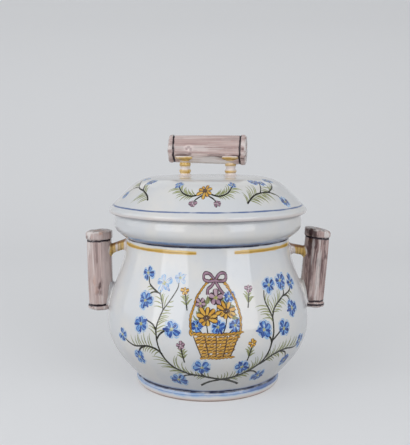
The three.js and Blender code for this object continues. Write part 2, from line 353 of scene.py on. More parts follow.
def run_nodes(name, tree, carrier_data, **given):
    """Runs a geometry tree on a carrier, keeps the plain mesh it makes and removes the carrier."""
    carrier = set_in_scene(name + " carrier", carrier_data)
    modifier = carrier.modifiers.new("nodes", "NODES")
    modifier.node_group = tree
    for item in tree.interface.items_tree:
        key = item.name.lower().replace(" ", "_")
        if item.item_type == "SOCKET" and item.in_out == "INPUT" and key in given:
            modifier[item.identifier] = given[key]
    bpy.context.view_layer.update()
    settled = carrier.evaluated_get(bpy.context.evaluated_depsgraph_get())
    mesh = bpy.data.meshes.new_from_object(settled)
    mesh.name = name
    bpy.data.objects.remove(carrier)
    return set_in_scene(name, mesh)


def outward(mesh):
    """Turns every face of a closed mesh outwards."""
    edited = bmesh.new()
    edited.from_mesh(mesh)
    bmesh.ops.recalc_face_normals(edited, faces=edited.faces)
    edited.to_mesh(mesh)
    edited.free()


def hand_over(piece, body, solid=None):
    """Hangs a piece on the body it rides on, and hides the CAD solid it stands for."""
    if solid is not None:
        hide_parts(solid)
    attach(piece, body)


def turned_piece(name, body, glaze, start, *spans):
    """Turns a piece from its outline, glazes it and lets it stand for the CAD solid of the same name."""
    outline = outline_of(name, start, *spans)
    made = run_nodes(name + "_glazed", WHEEL, bpy.data.meshes.new(name), outline=outline, sides=TURNED_SIDES,
                     crisp_above=CRISP_ANGLE, glaze=glaze)
    outward(made.data)
    bpy.data.objects.remove(outline)
    hand_over(made, body, name)
    return made


def cloud(tree, place, scale, detail, seed=None):
    """Soft noise at a place, from 0 to 1. Each seed gives another pattern."""
    inputs = {"Vector": place, "Scale": scale, "Detail": detail}
    if seed is None:
        return node(tree, "ShaderNodeTexNoise", inputs).outputs["Fac"]
    return node(tree, "ShaderNodeTexNoise", {**inputs, "W": seed}, noise_dimensions="4D").outputs["Fac"]


def from_half(tree, value):
    return minus(tree, value, 0.5)


def tin_glaze_nodes():
    """The white glaze itself: its colour, its gloss and its small unevenness, the same all over the jar."""
    tree = bpy.data.node_groups.new("tin glaze", "ShaderNodeTree")
    tree.interface.new_socket("Colour", in_out="OUTPUT", socket_type="NodeSocketColor")
    tree.interface.new_socket("Roughness", in_out="OUTPUT", socket_type="NodeSocketFloat")
    tree.interface.new_socket("Normal", in_out="OUTPUT", socket_type="NodeSocketVector")
    place = own_place(tree)
    clouds = cloud(tree, place, 28.0, 3.0)
    colour = colour_mix(tree, fade(tree, clouds, 0.35, 0.68), GLAZE_COOL, GLAZE_WARM)
    veil = times(tree, fade(tree, cloud(tree, place, 260.0, 2.0), 0.55, 0.8), 0.25)
    colour = colour_mix(tree, veil, colour, GLAZE_VEIL)
    cells = node(tree, "ShaderNodeTexVoronoi", {"Vector": place, "Scale": 62.0, "Randomness": 1.0}).outputs
    chosen = node(tree, "ShaderNodeSeparateColor", {"Color": cells["Color"]}).outputs["Red"]
    size = times(tree, fade(tree, chosen, SPECKS_ABOVE, 1.0), SPECK_SIZE)
    speck = math_node(tree, "LESS_THAN", cells["Distance"], size)
    colour = colour_mix(tree, times(tree, speck, 0.55), colour, IRON)
    gloss = node(tree, "ShaderNodeMapRange", {"Value": clouds, "To Min": GLOSS[0], "To Max": GLOSS[1]})
    waves = times(tree, cloud(tree, place, 48.0, 1.5), WAVE_DEPTH)
    ripples = times(tree, cloud(tree, place, 420.0, 2.0), RIPPLE_DEPTH)
    relief = minus(tree, plus(tree, waves, ripples), times(tree, speck, SPECK_DENT))
    bump = node(tree, "ShaderNodeBump", {"Height": relief, "Distance": 1.0, "Strength": 1.0})
    node(tree, "NodeGroupOutput", {"Colour": colour, "Roughness": gloss.outputs["Result"],
                                   "Normal": bump.outputs["Normal"]})
    return tree


TIN_GLAZE = tin_glaze_nodes()


def glazed_material(name):
    """A new material with the tin glaze in it. Returns it, its tree, the glaze's outputs and its shader."""
    made = bpy.data.materials.new(name)
    made.use_nodes = True
    tree = made.node_tree
    tree.nodes.clear()
    glaze = node(tree, "ShaderNodeGroup", node_tree=TIN_GLAZE).outputs
    shader = node(tree, "ShaderNodeBsdfPrincipled",
                  {"Base Color": glaze["Colour"], "Roughness": glaze["Roughness"],
                   "Normal": glaze["Normal"], "IOR": GLAZE_IOR})
    node(tree, "ShaderNodeOutputMaterial", {"Surface": shader.outputs["BSDF"]})
    return made, tree, glaze, shader.inputs


def hand_line(tree, across, centre, half_width, wander=0.35, softness=0.35, seed=0.0):
    """How much paint a brushed line leaves, where the jar is turned under the brush. Sizes in mm."""
    place = own_place(tree)
    drift = cloud(tree, place, 22.0, 1.0, seed)
    load = cloud(tree, place, 75.0, 2.0, seed + 5)
    off = times_plus(tree, from_half(tree, drift), wander * 4 * MM, -centre * MM)
    off = math_node(tree, "ABSOLUTE", plus(tree, across, off))
    edge = times_plus(tree, from_half(tree, load), half_width * 1.2 * MM, half_width * MM)
    share = fade(tree, off, plus(tree, edge, softness * MM), minus(tree, edge, softness * MM))
    return times(tree, share, fade(tree, load, 0.12, 0.5))


def place_on_jar(tree):
    """Height, distance to the right, and degrees round the jar, 0 at the front and more to the right."""
    axes = parts_of(tree, own_place(tree))
    turn = math_node(tree, "ARCTAN2", axes["X"], times(tree, axes["Y"], -1.0))
    return axes["Z"], axes["X"], math_node(tree, "DEGREES", turn)


def vector_math(tree, operation, first, second, output=0):
    return node(tree, "ShaderNodeVectorMath", {0: first, 1: second}, operation=operation).outputs[output]


def length_of(tree, vector):
    return node(tree, "ShaderNodeVectorMath", {0: vector}, operation="LENGTH").outputs["Value"]


def from_axis(tree, place):
    """How far a place lies from the jar's axis."""
    return length_of(tree, vector_math(tree, "MULTIPLY", place, (1.0, 1.0, 0.0)))


def outside_of(tree, radius, above=0.0, widening=0.0):
    """1 on what lies further than a radius from the jar's axis, so that no line is painted inside.

    Sizes in mm. The radius may widen with the height above a level."""
    place = own_place(tree)
    risen = minus(tree, parts_of(tree, place)["Z"], above * MM)
    far = times_plus(tree, risen, -widening, from_axis(tree, place))
    return fade(tree, far, (radius - 0.4) * MM, (radius + 0.4) * MM)


def painted(tree, share, colour, paint, strength=1.0, where=None):
    """Lays a paint over a colour, at a strength, and only where it is let."""
    share = times(tree, share, strength)
    if where is not None:
        share = times(tree, share, where)
    return colour_mix(tree, share, colour, paint)


def line_round(tree, colour, height, line_height, half_width, paint, strength=1.0, where=None, **hand):
    """Draws a brushed line round the jar, over a colour. Sizes in mm."""
    line = hand_line(tree, height, line_height, half_width, **hand)
    return painted(tree, line, colour, paint, strength, where)


OCHRE = srgb(204, 162, 66)
DARK_OCHRE = srgb(150, 112, 48)
WATERY_OCHRE = srgb(222, 190, 116)
NAVY = srgb(28, 38, 72)
COBALT = srgb(66, 112, 186)
PALE_BLUE = srgb(150, 184, 220)
CLAY_BLUSH = srgb(226, 206, 198)

NECK_LINE_HEIGHT = 137.4
GAP_START = -7.5
GAP_END = 17.0
GAP_SOFT = 0.6

wall_glaze, tree, glaze, shader = glazed_material("white glaze with an ochre neck line")
height, _, turn = place_on_jar(tree)
gap = times(tree, fade(tree, turn, GAP_START - GAP_SOFT, GAP_START + GAP_SOFT),
            fade(tree, turn, GAP_END + GAP_SOFT, GAP_END - GAP_SOFT))
outside = outside_of(tree, NECK_RADIUS - 2)
drawn = times(tree, minus(tree, 1.0, gap), outside)
colour = line_round(tree, glaze["Colour"], height, NECK_LINE_HEIGHT, 1.6, WATERY_OCHRE, where=drawn,
                    wander=0.2, softness=0.5)
colour = line_round(tree, colour, height, NECK_LINE_HEIGHT - 0.3, 1.0, OCHRE, where=drawn, wander=0.25,
                    seed=0.5)
colour = line_round(tree, colour, height, NECK_LINE_HEIGHT - 0.4, 0.4, DARK_OCHRE, 0.6, drawn, wander=0.2,
                    seed=3.0)
colour = line_round(tree, colour, height, NECK_HEIGHT + 0.1, 0.8, NAVY, where=outside, wander=0.12, seed=1.0)
outside = outside_of(tree, FOOT_RADIUS - 1.5)
colour = line_round(tree, colour, height, FOOT_HEIGHT + 1.8, 0.9, COBALT, 0.45, outside, wander=0.9,
                    softness=0.9, seed=5.0)
colour = line_round(tree, colour, height, FOOT_HEIGHT + 0.6, 0.9, NAVY, where=outside, seed=2.0)
tree.links.new(colour, shader["Base Color"])
inner_belly = BELLY_RADIUS - WALL
inner_neck = NECK_RADIUS - WALL
jar_wall = turned_piece(
    "jar_body", "jar", wall_glaze, (0, 11.1),
    (25, 11.0, 45, 10.4, 58, FOOT_HEIGHT), (FOOT_RADIUS, FOOT_HEIGHT),
    (FOOT_RADIUS + 15, FOOT_HEIGHT + 17, BELLY_RADIUS, BELLY_HEIGHT - 22, BELLY_RADIUS, BELLY_HEIGHT),
    (BELLY_RADIUS, BELLY_HEIGHT + 30, NECK_RADIUS, NECK_HEIGHT - 28, NECK_RADIUS, NECK_HEIGHT),
    (inner_neck, NECK_HEIGHT),
    (inner_neck, NECK_HEIGHT - 28, inner_belly, BELLY_HEIGHT + 30, inner_belly, BELLY_HEIGHT),
    (inner_belly, BELLY_HEIGHT - 22, 78, FLOOR_TOP + 1, 54, FLOOR_TOP), (0, FLOOR_TOP))


# The foot: a low ring turned from the same clay and luted under the floor. It is glazed and banded
# in blue like the rest, but its flat underside was wiped clean so that it didn't stick in the kiln.

CONTACT_INNER = 60.8
CONTACT_OUTER = 68.4
CLAY = srgb(201, 177, 147)
DARK_CLAY = srgb(150, 112, 88)
DEEP_BLUE = srgb(58, 88, 156)
DARK_FOOT_EDGE = srgb(128, 92, 86)
CLAY_ROUGHNESS = 0.85
FOOT_LINES = [(6.2, 0.3, 0.85, 6.0), (7.8, 0.35, 0.55, 12.0), (5.2, 0.15, 0.3, 13.0)]

foot_glaze, tree, glaze, shader = glazed_material("banded foot glaze, bare underneath")
height, _, turn = place_on_jar(tree)
colour = colour_mix(tree, fade(tree, height, 4.6 * MM, 1.0 * MM), glaze["Colour"], CLAY_BLUSH)
outside = outside_of(tree, CONTACT_INNER + 3)
watery = times_plus(tree, fade(tree, cloud(tree, own_place(tree), 120.0, 3.0), 0.36, 0.62), 0.5, 0.25)
colour = line_round(tree, colour, height, 6.6, 2.0, PALE_BLUE, where=times(tree, watery, outside),
                    wander=0.3, softness=1.0, seed=4.0)
for line_height, half_width, strength, seed in FOOT_LINES:
    colour = line_round(tree, colour, height, line_height, half_width, COBALT, strength, outside, wander=0.4,
                        softness=0.5, seed=seed)
right_side = times(tree, fade(tree, turn, 24.0, 42.0), fade(tree, turn, 90.0, 70.0))
colour = line_round(tree, colour, height, 7.2, 1.6, DEEP_BLUE, 0.7, times(tree, right_side, outside),
                    wander=0.5, softness=0.9, seed=14.0)
colour = line_round(tree, colour, height, FOOT_HEIGHT - 0.3, 0.9, NAVY, where=outside, seed=2.0)
# A dark reddish line round the foot's bottom edge, just above the table.
colour = line_round(tree, colour, height, 0.9, 0.5, DARK_FOOT_EDGE, 0.8, wander=0.3, seed=9.0)
wiped = fade(tree, height, 0.7 * MM, 0.3 * MM)
grit = fade(tree, cloud(tree, own_place(tree), 900.0, 4.0), 0.4, 0.7)
bare = colour_mix(tree, grit, CLAY, DARK_CLAY)
tree.links.new(colour_mix(tree, wiped, colour, bare), shader["Base Color"])
rough = node(tree, "ShaderNodeMix", {0: wiped, 2: glaze["Roughness"], 3: CLAY_ROUGHNESS}, data_type="FLOAT")
tree.links.new(rough.outputs[0], shader["Roughness"])
turned_piece(
    "foot_ring", "jar", foot_glaze, (CONTACT_INNER, 0), (CONTACT_OUTER - 0.7, 0),
    (CONTACT_OUTER - 0.2, 0, CONTACT_OUTER + 0.3, 0.3, CONTACT_OUTER + 0.6, 0.8),
    (CONTACT_OUTER + 2.4, 2.4, CONTACT_OUTER + 2.2, 6.4, FOOT_RADIUS, FOOT_HEIGHT + 0.15),
    (CONTACT_INNER - 2.6, FOOT_HEIGHT + 0.3),
    (CONTACT_INNER - 1.6, 6, CONTACT_INNER - 1.2, 3, CONTACT_INNER - 1, 1.2), (CONTACT_INNER, 0))


# The collar: a hollow-backed roll thrown on top of the neck. It swells out over a painted groove,
# with blue washed upwards out of the groove, and its flat top is the lid's seat.

COLLAR_RADIUS = 90.1
COLLAR_HEIGHT = 155.0
SEAT_HEIGHT = 165.2
SEAT_INNER = 81.0
SEAT_OUTER = 87.9
SKY_BLUE = srgb(104, 152, 208)

collar_glaze, tree, glaze, shader = glazed_material("white collar glaze with a blue wash")
height, _, turn = place_on_jar(tree)
outside = outside_of(tree, NECK_RADIUS - 3, NECK_HEIGHT, 1.2)
wash = times_plus(tree, cloud(tree, own_place(tree), 55.0, 2.0), 4 * MM, height)
wash = fade(tree, wash, (NECK_HEIGHT + 8) * MM, (NECK_HEIGHT + 3.5) * MM)
colour = painted(tree, wash, glaze["Colour"], PALE_BLUE, 0.75, outside)
at_left = times_plus(tree, fade(tree, turn, 10.0, -25.0), 0.75, 0.25)
colour = line_round(tree, colour, height, NECK_HEIGHT + 3.6, 1.0, SKY_BLUE,
                    where=times(tree, at_left, outside), wander=0.5, softness=0.9, seed=15.0)
colour = line_round(tree, colour, height, NECK_HEIGHT + 2.2, 0.6, COBALT, 0.8, outside, wander=0.3,
                    softness=0.5, seed=16.0)
colour = line_round(tree, colour, height, NECK_HEIGHT + 0.8, 1.0, NAVY, where=outside, wander=0.12, seed=1.0)
tree.links.new(colour, shader["Base Color"])
collar_base = NECK_HEIGHT - 0.1
turned_piece(
    "neck_collar", "jar", collar_glaze, (inner_neck, collar_base), (NECK_RADIUS, collar_base),
    (NECK_RADIUS + 5.6, NECK_HEIGHT + 3.9, COLLAR_RADIUS, COLLAR_HEIGHT - 6, COLLAR_RADIUS, COLLAR_HEIGHT),
    (COLLAR_RADIUS, COLLAR_HEIGHT + 5, SEAT_OUTER + 1.7, SEAT_HEIGHT - 2, SEAT_OUTER, SEAT_HEIGHT),
    (SEAT_INNER, SEAT_HEIGHT),
    (SEAT_INNER + 2.4, SEAT_HEIGHT - 5, SEAT_INNER + 4, COLLAR_HEIGHT, SEAT_INNER + 0.6, COLLAR_HEIGHT - 5),
    (NECK_RADIUS + 0.5, COLLAR_HEIGHT - 6.5, NECK_RADIUS - 3.5, NECK_HEIGHT + 2.5, inner_neck, collar_base))


# The side grips: each is a roll of clay pared lengthwise into soft flats like a cut branch, pierced
# so that it fires sound, and closed at both ends by a disc. Mauve is brushed on along the grain, the
# joints are ringed in aubergine, and white is painted on the rims, where the glaze breaks white and as
# painted highlight. A few of the marks are painted highlights or painted shade.

FLATS = 8
FLAT_DEPTH = 0.020
DENT_DEPTH = 0.014
LOG_SIDES = 96
ROLL_STEPS = 40
RIM_STEPS = 6
END_LUMPS = 0.55
MAUVE = srgb(184, 157, 153)
PALE_MAUVE = srgb(206, 187, 183)
DARK_MAUVE = srgb(96, 70, 70)
BARE_WHITE_AND_HIGHLIGHT = srgb(226, 219, 217)
BARE_UNDERSIDE = srgb(234, 230, 226)
PIT_ROSE = srgb(216, 178, 158)
SAWN_PALE = srgb(156, 130, 118)
SAWN_DARK = srgb(94, 70, 60)
BARK_BROWN = srgb(132, 104, 92)
AUBERGINE = srgb(40, 24, 34)
SIDE_LOG = {"length": 78.4, "radius": 11.7, "cap": 12.7, "high": 9.0, "low": 5.5, "taper": 0.0}


def pare(log, radius, turn, along):
    """The radius of a pared log where it is meant to be round. Sizes in mm."""
    flat = 1 - FLAT_DEPTH * math.cos(FLATS * turn + 0.5 * math.sin(along / 30))
    swell = 1 + log["taper"] * along / (log["length"] / 2)
    dent = noise.noise(Vector((math.cos(turn) * 1.4, math.sin(turn) * 1.4, along / 28 + log["length"])))
    return radius * flat * swell * (1 + DENT_DEPTH * dent)


def keep_measure(mesh, name, kind, values):
    """Writes a measure of each point on a mesh, for its material or for a brush."""
    key = "vector" if kind == "FLOAT_VECTOR" else "value"
    mesh.attributes.new(name, kind, "POINT").data.foreach_set(key, values)


def pared_mesh(name, log, rows, cut):
    """A closed pared form from rows of (radius, height along the log, end, rim), first and last on the axis.

    cut says how its upper end was cut: from where, its slope towards the jar and its drop."""
    points, ends, rims, grain = [], [], [], []
    for radius, along, end, rim in rows:
        for side in range(LOG_SIDES if radius > 0 else 1):
            turn = 2 * math.pi * side / LOG_SIDES
            out = pare(log, radius, turn, along) if radius > 0 else 0.0
            spot = Vector((out * math.cos(turn) / 5, out * math.sin(turn) / 5, along))
            lump = noise.noise(spot) * END_LUMPS * end
            reached = min(1.0, max(0.0, (along - cut["from"]) / 4.0))
            lump += reached * (cut["slope"] * out * math.cos(turn) - cut["drop"])
            points.append(Vector((out * math.cos(turn), out * math.sin(turn), along + lump)) * MM)
            grain.append(Vector((radius * math.cos(turn), radius * math.sin(turn), along)) * MM)
            ends.append(end)
            rims.append(rim)
    top = len(points) - 1
    last = top - LOG_SIDES
    faces = [(0, 1 + (side + 1) % LOG_SIDES, 1 + side) for side in range(LOG_SIDES)]
    for first in range(1, last, LOG_SIDES):
        for side in range(LOG_SIDES):
            after = (side + 1) % LOG_SIDES
            faces.append((first + side, first + after, first + LOG_SIDES + after, first + LOG_SIDES + side))
    faces += [(last + side, last + (side + 1) % LOG_SIDES, top) for side in range(LOG_SIDES)]
    mesh = plain_mesh(name, points, faces)
    keep_measure(mesh, "grain", "FLOAT_VECTOR", [part for place in grain for part in place])
    keep_measure(mesh, "end", "FLOAT", ends)
    keep_measure(mesh, "rim", "FLOAT", rims)
    return mesh


def roll_rows(log):
    """The roll between its discs, a little fuller at its middle. Rows as pared_mesh takes them."""
    radius = log["radius"]
    low = log["low"] - log["length"] / 2
    high = log["length"] / 2 - log["high"]
    rows = [(0, low - 1, 0, 0), (radius - 1, low - 1, 0, 0), (radius - 0.3, low + 0.1, 0, 0.3)]
    for step in range(ROLL_STEPS + 1):
        share = step / ROLL_STEPS
        rows.append((radius + 2 * share * (1 - share) * 0.5, low + 0.7 + share * (high - low - 1.4), 0, 0))
    return rows + [(radius - 0.3, high - 0.1, 0, 0.3), (radius - 1, high + 1, 0, 0), (0, high + 1, 0, 0)]


def cap_rows(log, high):
    """An end disc, with a rounded rim and a slightly domed end. Rows as pared_mesh takes them."""
    inner = log["length"] / 2 - (log["high"] if high else log["low"])
    outer = log["length"] / 2
    radius = log["cap"]
    edge = radius - 2.3
    rows = [(0, inner - 0.4, 0, 0), (log["radius"] - 2, inner - 0.4, 0, 0), (radius - 0.9, inner, 0, 0.1),
            (radius - 0.35, inner + 0.25, 0, 0.3), (radius, inner + 0.9, 0, 0.15)]
    wall = outer - 2.6 - (inner + 0.9)
    for step in range(1, RIM_STEPS + 1):
        rows.append((radius, inner + 0.9 + wall * step / RIM_STEPS, 0, 0.0))
    for step in range(1, RIM_STEPS + 1):
        turn = math.pi / 2 * step / RIM_STEPS
        rows.append((edge + 2.3 * math.cos(turn), outer - 2.6 + 2.0 * math.sin(turn), step / RIM_STEPS,
                     1 - abs(step - 3) / 4))
    for share in (0.9, 0.75, 0.6, 0.45, 0.3, 0.15):
        rows.append((share * edge, outer - 0.6 * share * share, 1, max(0.0, share - 0.8)))
    rows.append((0, outer, 1, 0))
    return rows if high else [(radius, -along, end, rim) for radius, along, end, rim in reversed(rows)]


def kept_measure(tree, name, output="Fac"):
    return node(tree, "ShaderNodeAttribute", attribute_name=name).outputs[output]


def stretched(tree, place, *scale):
    return node(tree, "ShaderNodeMapping", {"Vector": place, "Scale": scale}).outputs[0]


def mauve_material(name, rings, seed, marks, straight, stripe, dark, pale, tone=1.0, bare_under=0.0):
    """Mauve brushed along the grain over white, ringed at the joints. Sizes in mm along the log's own axes.

    straight and stripe say how long and how fine the streaks are, and tone, dark and pale how strong.
    rings holds (height, rise per mm of X, rise per mm of Y). marks holds (place, size, width against
    length, colour, strength): knots, streaks, the places where the glaze broke white, and a few painted
    highlights and painted shade."""
    made, tree, glaze, shader = glazed_material(name)
    grain = kept_measure(tree, "grain", "Vector")
    axes = parts_of(tree, grain)

    def brushed(scale, stretch, shift, detail=2.0):
        return cloud(tree, stretched(tree, grain, 1.0, 1.0, stretch), scale, detail, seed + shift)

    broad = brushed(190.0, straight * 1.6, 0.0)
    stripes = brushed(stripe, straight, 2.0)
    hairs = brushed(stripe * 1.7, straight * 0.8, 3.0)
    blots = brushed(150.0, 0.5, 4.0, detail=4.0)
    colour = colour_mix(tree, times(tree, fade(tree, broad, 0.36, 0.58), tone), PALE_MAUVE, MAUVE)
    for pattern, low, high, strength, paint in (
            (stripes, 0.52, 0.64, 0.55 * dark, DARK_MAUVE), (stripes, 0.46, 0.34, 0.50 * pale, BARE_WHITE_AND_HIGHLIGHT),
            (hairs, 0.53, 0.66, 0.60 * dark, DARK_MAUVE), (hairs, 0.46, 0.34, 0.55 * pale, BARE_WHITE_AND_HIGHLIGHT),
            (blots, 0.57, 0.70, 0.35 * pale, BARE_WHITE_AND_HIGHLIGHT), (blots, 0.43, 0.30, 0.60 * dark, DARK_MAUVE)):
        colour = painted(tree, fade(tree, pattern, low, high), colour, paint, strength)
    if bare_under:
        under = times(tree, fade(tree, axes["X"], 3.5 * MM, 11.5 * MM), fade(tree, hairs, 0.72, 0.42))
        middle = fade(tree, math_node(tree, "ABSOLUTE", axes["Z"]), 30 * MM, 16 * MM)
        colour = painted(tree, times(tree, under, middle), colour, BARE_UNDERSIDE, bare_under)
    pits = node(tree, "ShaderNodeTexVoronoi", {"Vector": grain, "Scale": 420.0}).outputs["Distance"]
    pits = times(tree, fade(tree, pits, 0.22, 0.10), fade(tree, blots, 0.44, 0.58))
    colour = painted(tree, pits, colour, PIT_ROSE, 0.65)
    sawn = fade(tree, cloud(tree, stretched(tree, grain, 1.0, 0.25, 1.0), 300.0, 4.0), 0.42, 0.56)
    sawn = colour_mix(tree, sawn, SAWN_PALE, SAWN_DARK)
    colour = painted(tree, kept_measure(tree, "end"), colour, sawn, 0.9)
    ragged = plus(tree, times(tree, from_half(tree, hairs), 10 * MM),
                  times(tree, from_half(tree, blots), 10 * MM))
    for place, size, shape, paint, strength in marks:
        off = vector_math(tree, "SUBTRACT", grain, Vector(place) * MM)
        far = length_of(tree, stretched(tree, off, 1.0, 1.0, shape))
        far = times_plus(tree, ragged, min(1.0, size / 3), far)
        colour = painted(tree, fade(tree, far, size * MM, size * 0.45 * MM), colour, paint, strength)
    # Painted highlight: broken white along the rims, which also stands for the glaze breaking white there.
    rim_white_and_highlight = times(tree, kept_measure(tree, "rim"), fade(tree, brushed(210.0, 0.8, 6.0), 0.40, 0.58))
    colour = painted(tree, rim_white_and_highlight, colour, BARE_WHITE_AND_HIGHLIGHT, 0.95)
    drift = times(tree, from_half(tree, brushed(130.0, 0.0, 0.0, detail=1.0)), 2.2 * MM)
    load = times(tree, minus(tree, 0.5, brushed(260.0, 1.0, 9.0)), 1.2 * MM)
    for height, lean_x, lean_y in rings:
        off = plus(tree, axes["Z"], minus(tree, drift, height * MM))
        off = times_plus(tree, axes["X"], -lean_x, off)
        off = math_node(tree, "ABSOLUTE", times_plus(tree, axes["Y"], -lean_y, off))
        colour = colour_mix(tree, fade(tree, plus(tree, load, off), 1.25 * MM, 0.65 * MM), colour, AUBERGINE)
    relief = times_plus(tree, stripes, 0.25 * MM, times(tree, broad, 0.40 * MM))
    relief = times_plus(tree, hairs, 0.08 * MM, relief)
    relief = minus(tree, relief, times(tree, pits, 0.1 * MM))
    bump = node(tree, "ShaderNodeBump", {"Height": relief, "Distance": 1.0, "Normal": glaze["Normal"]})
    tree.links.new(bump.outputs["Normal"], shader["Normal"])
    tree.links.new(colour, shader["Base Color"])
    return made


def tree_of(*pieces):
    """The surfaces of some pieces together, for finding where a ray meets them."""
    points, faces = [], []
    for piece in pieces:
        faces += [[len(points) + corner for corner in face.vertices] for face in piece.data.polygons]
        points += [vertex.co.copy() for vertex in piece.data.vertices]
    return BVHTree.FromPolygons(points, faces)


WALL_SURFACE = tree_of(jar_wall)
TUCK_DEPTH = 2.0


def tuck_behind_wall(mesh):
    """Pulls what would stand inside the jar back to just under the wall's outer face."""
    for vertex in mesh.vertices:
        flat = Vector((vertex.co.x, vertex.co.y, 0))
        out = flat.normalized()
        hit = WALL_SURFACE.ray_cast(out * 0.2 + Vector((0, 0, vertex.co.z)), -out)[0]
        if hit is None:
            continue
        least = Vector((hit.x, hit.y, 0)).length - TUCK_DEPTH * MM
        if flat.length < least:
            vertex.co.x, vertex.co.y = out.x * least, out.y * least


def log_pieces(log, cut, place, names, body, material, against_wall):
    """Makes a roll and its two end discs where the log lies. Returns the roll."""
    made = []
    cut = {"slope": cut[0], "drop": cut[1], "from": log["length"] / 2 - log["high"] + 1.5}
    for name, rows in zip(names, (roll_rows(log), cap_rows(log, True), cap_rows(log, False))):
        mesh = pared_mesh(name + "_glazed", log, rows, cut)
        mesh.transform(place)
        if against_wall:
            tuck_behind_wall(mesh)
        mesh.materials.append(material)
        outward(mesh)
        made.append(set_in_scene(name + "_glazed", mesh))
        hand_over(made[-1], body, name)
    return made[0]


LEFT_SET = {"turn": 0.0, "reach": 105.4, "height": 108.6, "lean": 0.7, "cut": (0.04, 0.3),
            "seam": (2.6, 8.6)}
RIGHT_SET = {"turn": math.pi, "reach": 104.4, "height": 111.1, "lean": 4.2, "cut": (0.13, 1.0),
             "seam": (1.9, 4.4)}
half = SIDE_LOG["length"] / 2
RUST = srgb(190, 138, 112)
DARK_BARK = srgb(56, 38, 36)
BROWN = srgb(84, 60, 58)
# The white patch on the top disc's outer front rim is a painted highlight, and the long pale mauve stripe on
# the front, towards the jar, is painted light on a side left darker in shade.
LEFT_MARKS = [
    ((1.4, -11.6, -13.6), 2.6, 0.55, BROWN, 0.8), ((2.8, -11.4, -10.6), 1.8, 0.4, DARK_MAUVE, 0.7),
    ((0.2, -11.7, -15.6), 1.8, 0.8, BROWN, 0.6), ((-9.6, -7.6, half - 8.0), 2.2, 1.2, BROWN, 0.75),
    ((2.0, -11.6, -20.5), 2.6, 0.6, DARK_MAUVE, 0.5), ((-4.4, -10.8, -11.0), 2.0, 0.40, RUST, 0.35),
    ((-2.6, -11.4, -18.0), 2.0, 0.5, RUST, 0.22), ((1.0, -3.0, half), 11.0, 1.0, BARK_BROWN, 0.55),
    ((-7.6, -8.8, half - 3.0), 4.6, 1.0, BARE_WHITE_AND_HIGHLIGHT, 0.95),
    ((-9.0, -8.0, half - 14), 3.0, 0.35, BARE_WHITE_AND_HIGHLIGHT, 0.8),
    ((7.8, -8.7, half - 16), 2.4, 0.16, DARK_MAUVE, 0.6), ((10.2, -5.6, -25.0), 4.6, 0.35, BARE_WHITE_AND_HIGHLIGHT, 0.85),
    ((9.2, -7.2, -35.0), 3.6, 0.8, BARE_WHITE_AND_HIGHLIGHT, 0.8), ((-1.0, -11.7, half - 20), 2.0, 0.12, DARK_MAUVE, 0.5),
    ((5.0, -10.6, -half + 2.5), 3.4, 1.0, BARE_WHITE_AND_HIGHLIGHT, 0.8), ((8.5, -8.0, -24), 3.4, 0.3, BARE_WHITE_AND_HIGHLIGHT, 0.7),
    ((-10.4, -5.4, half - 6.4), 1.8, 0.8, BROWN, 0.8), ((-6.0, -10.2, half - 7.4), 1.2, 0.6, BROWN, 0.6),
    ((6.6, -9.2, 2.0), 5.6, 0.10, PALE_MAUVE, 0.75), ((3.4, -11.6, half - 2.0), 2.6, 0.8, RUST, 0.6),
]
# The white patch on the top disc's outer front rim is a painted highlight, and so is the long pale mauve
# stripe on the front, towards the jar.
RIGHT_MARKS = [
    ((7.6, 8.9, 20.0), 4.0, 0.22, BROWN, 1.0), ((2.2, 11.4, 23.0), 2.4, 0.22, BROWN, 0.95),
    ((8.8, 7.6, 2.0), 2.4, 0.10, DARK_MAUVE, 0.75), ((5.6, 10.2, -8.0), 2.4, 0.12, DARK_MAUVE, 0.7),
    ((8.2, 8.2, -28.0), 4.0, 0.5, BROWN, 0.6), ((4.6, 10.8, 19.0), 1.2, 0.10, BARE_WHITE_AND_HIGHLIGHT, 0.8),
    ((-1.6, 11.6, 0.0), 2.0, 0.05, BARE_WHITE_AND_HIGHLIGHT, 0.6), ((10.6, 4.4, -10.0), 3.0, 0.10, PALE_MAUVE, 0.9),
    ((3.6, 11.1, -4.0), 3.0, 0.09, DARK_MAUVE, 0.45), ((1.0, -2.0, half), 7.0, 1.0, BROWN, 0.35),
    ((-6.0, 10.0, 4.0), 2.2, 0.08, DARK_MAUVE, 0.35), ((7.4, 8.4, half - 5.0), 6.8, 1.0, DARK_BARK, 0.85),
    ((10.0, 4.0, half - 4.0), 5.0, 0.8, BROWN, 0.8), ((-6.4, 9.6, 27.0), 2.4, 0.3, BROWN, 0.6),
    ((-7.6, 9.6, half - 5.0), 5.6, 0.9, BARE_WHITE_AND_HIGHLIGHT, 1.0), ((5.0, 9.5, half - 3.0), 3.6, 0.8, BROWN, 0.75),
    ((-4.0, 4.0, half - 1.0), 2.2, 1.0, BARE_WHITE_AND_HIGHLIGHT, 0.9), ((2.4, 11.2, -31.0), 3.0, 0.5, BROWN, 0.6),
]
LEFT_RINGS = [(half - 9.6, 0.03, 0.07), (5.8 - half, 0.05, 0.03)]
RIGHT_RINGS = [(half - 9.2, 0.06, -0.07), (6.9 - half, -0.03, -0.02), (3.6 - half, -0.02, -0.02)]
SIDE_MATERIALS = {
    "left": mauve_material("mauve glaze, left grip", LEFT_RINGS, 1.0, LEFT_MARKS, straight=0.04,
                           stripe=560.0, dark=0.42, pale=1.0, tone=0.46),
    "right": mauve_material("mauve glaze, right grip", RIGHT_RINGS, 11.0, RIGHT_MARKS, straight=0.04,
                            stripe=520.0, dark=1.35, pale=0.3),
}
side_rolls = {}
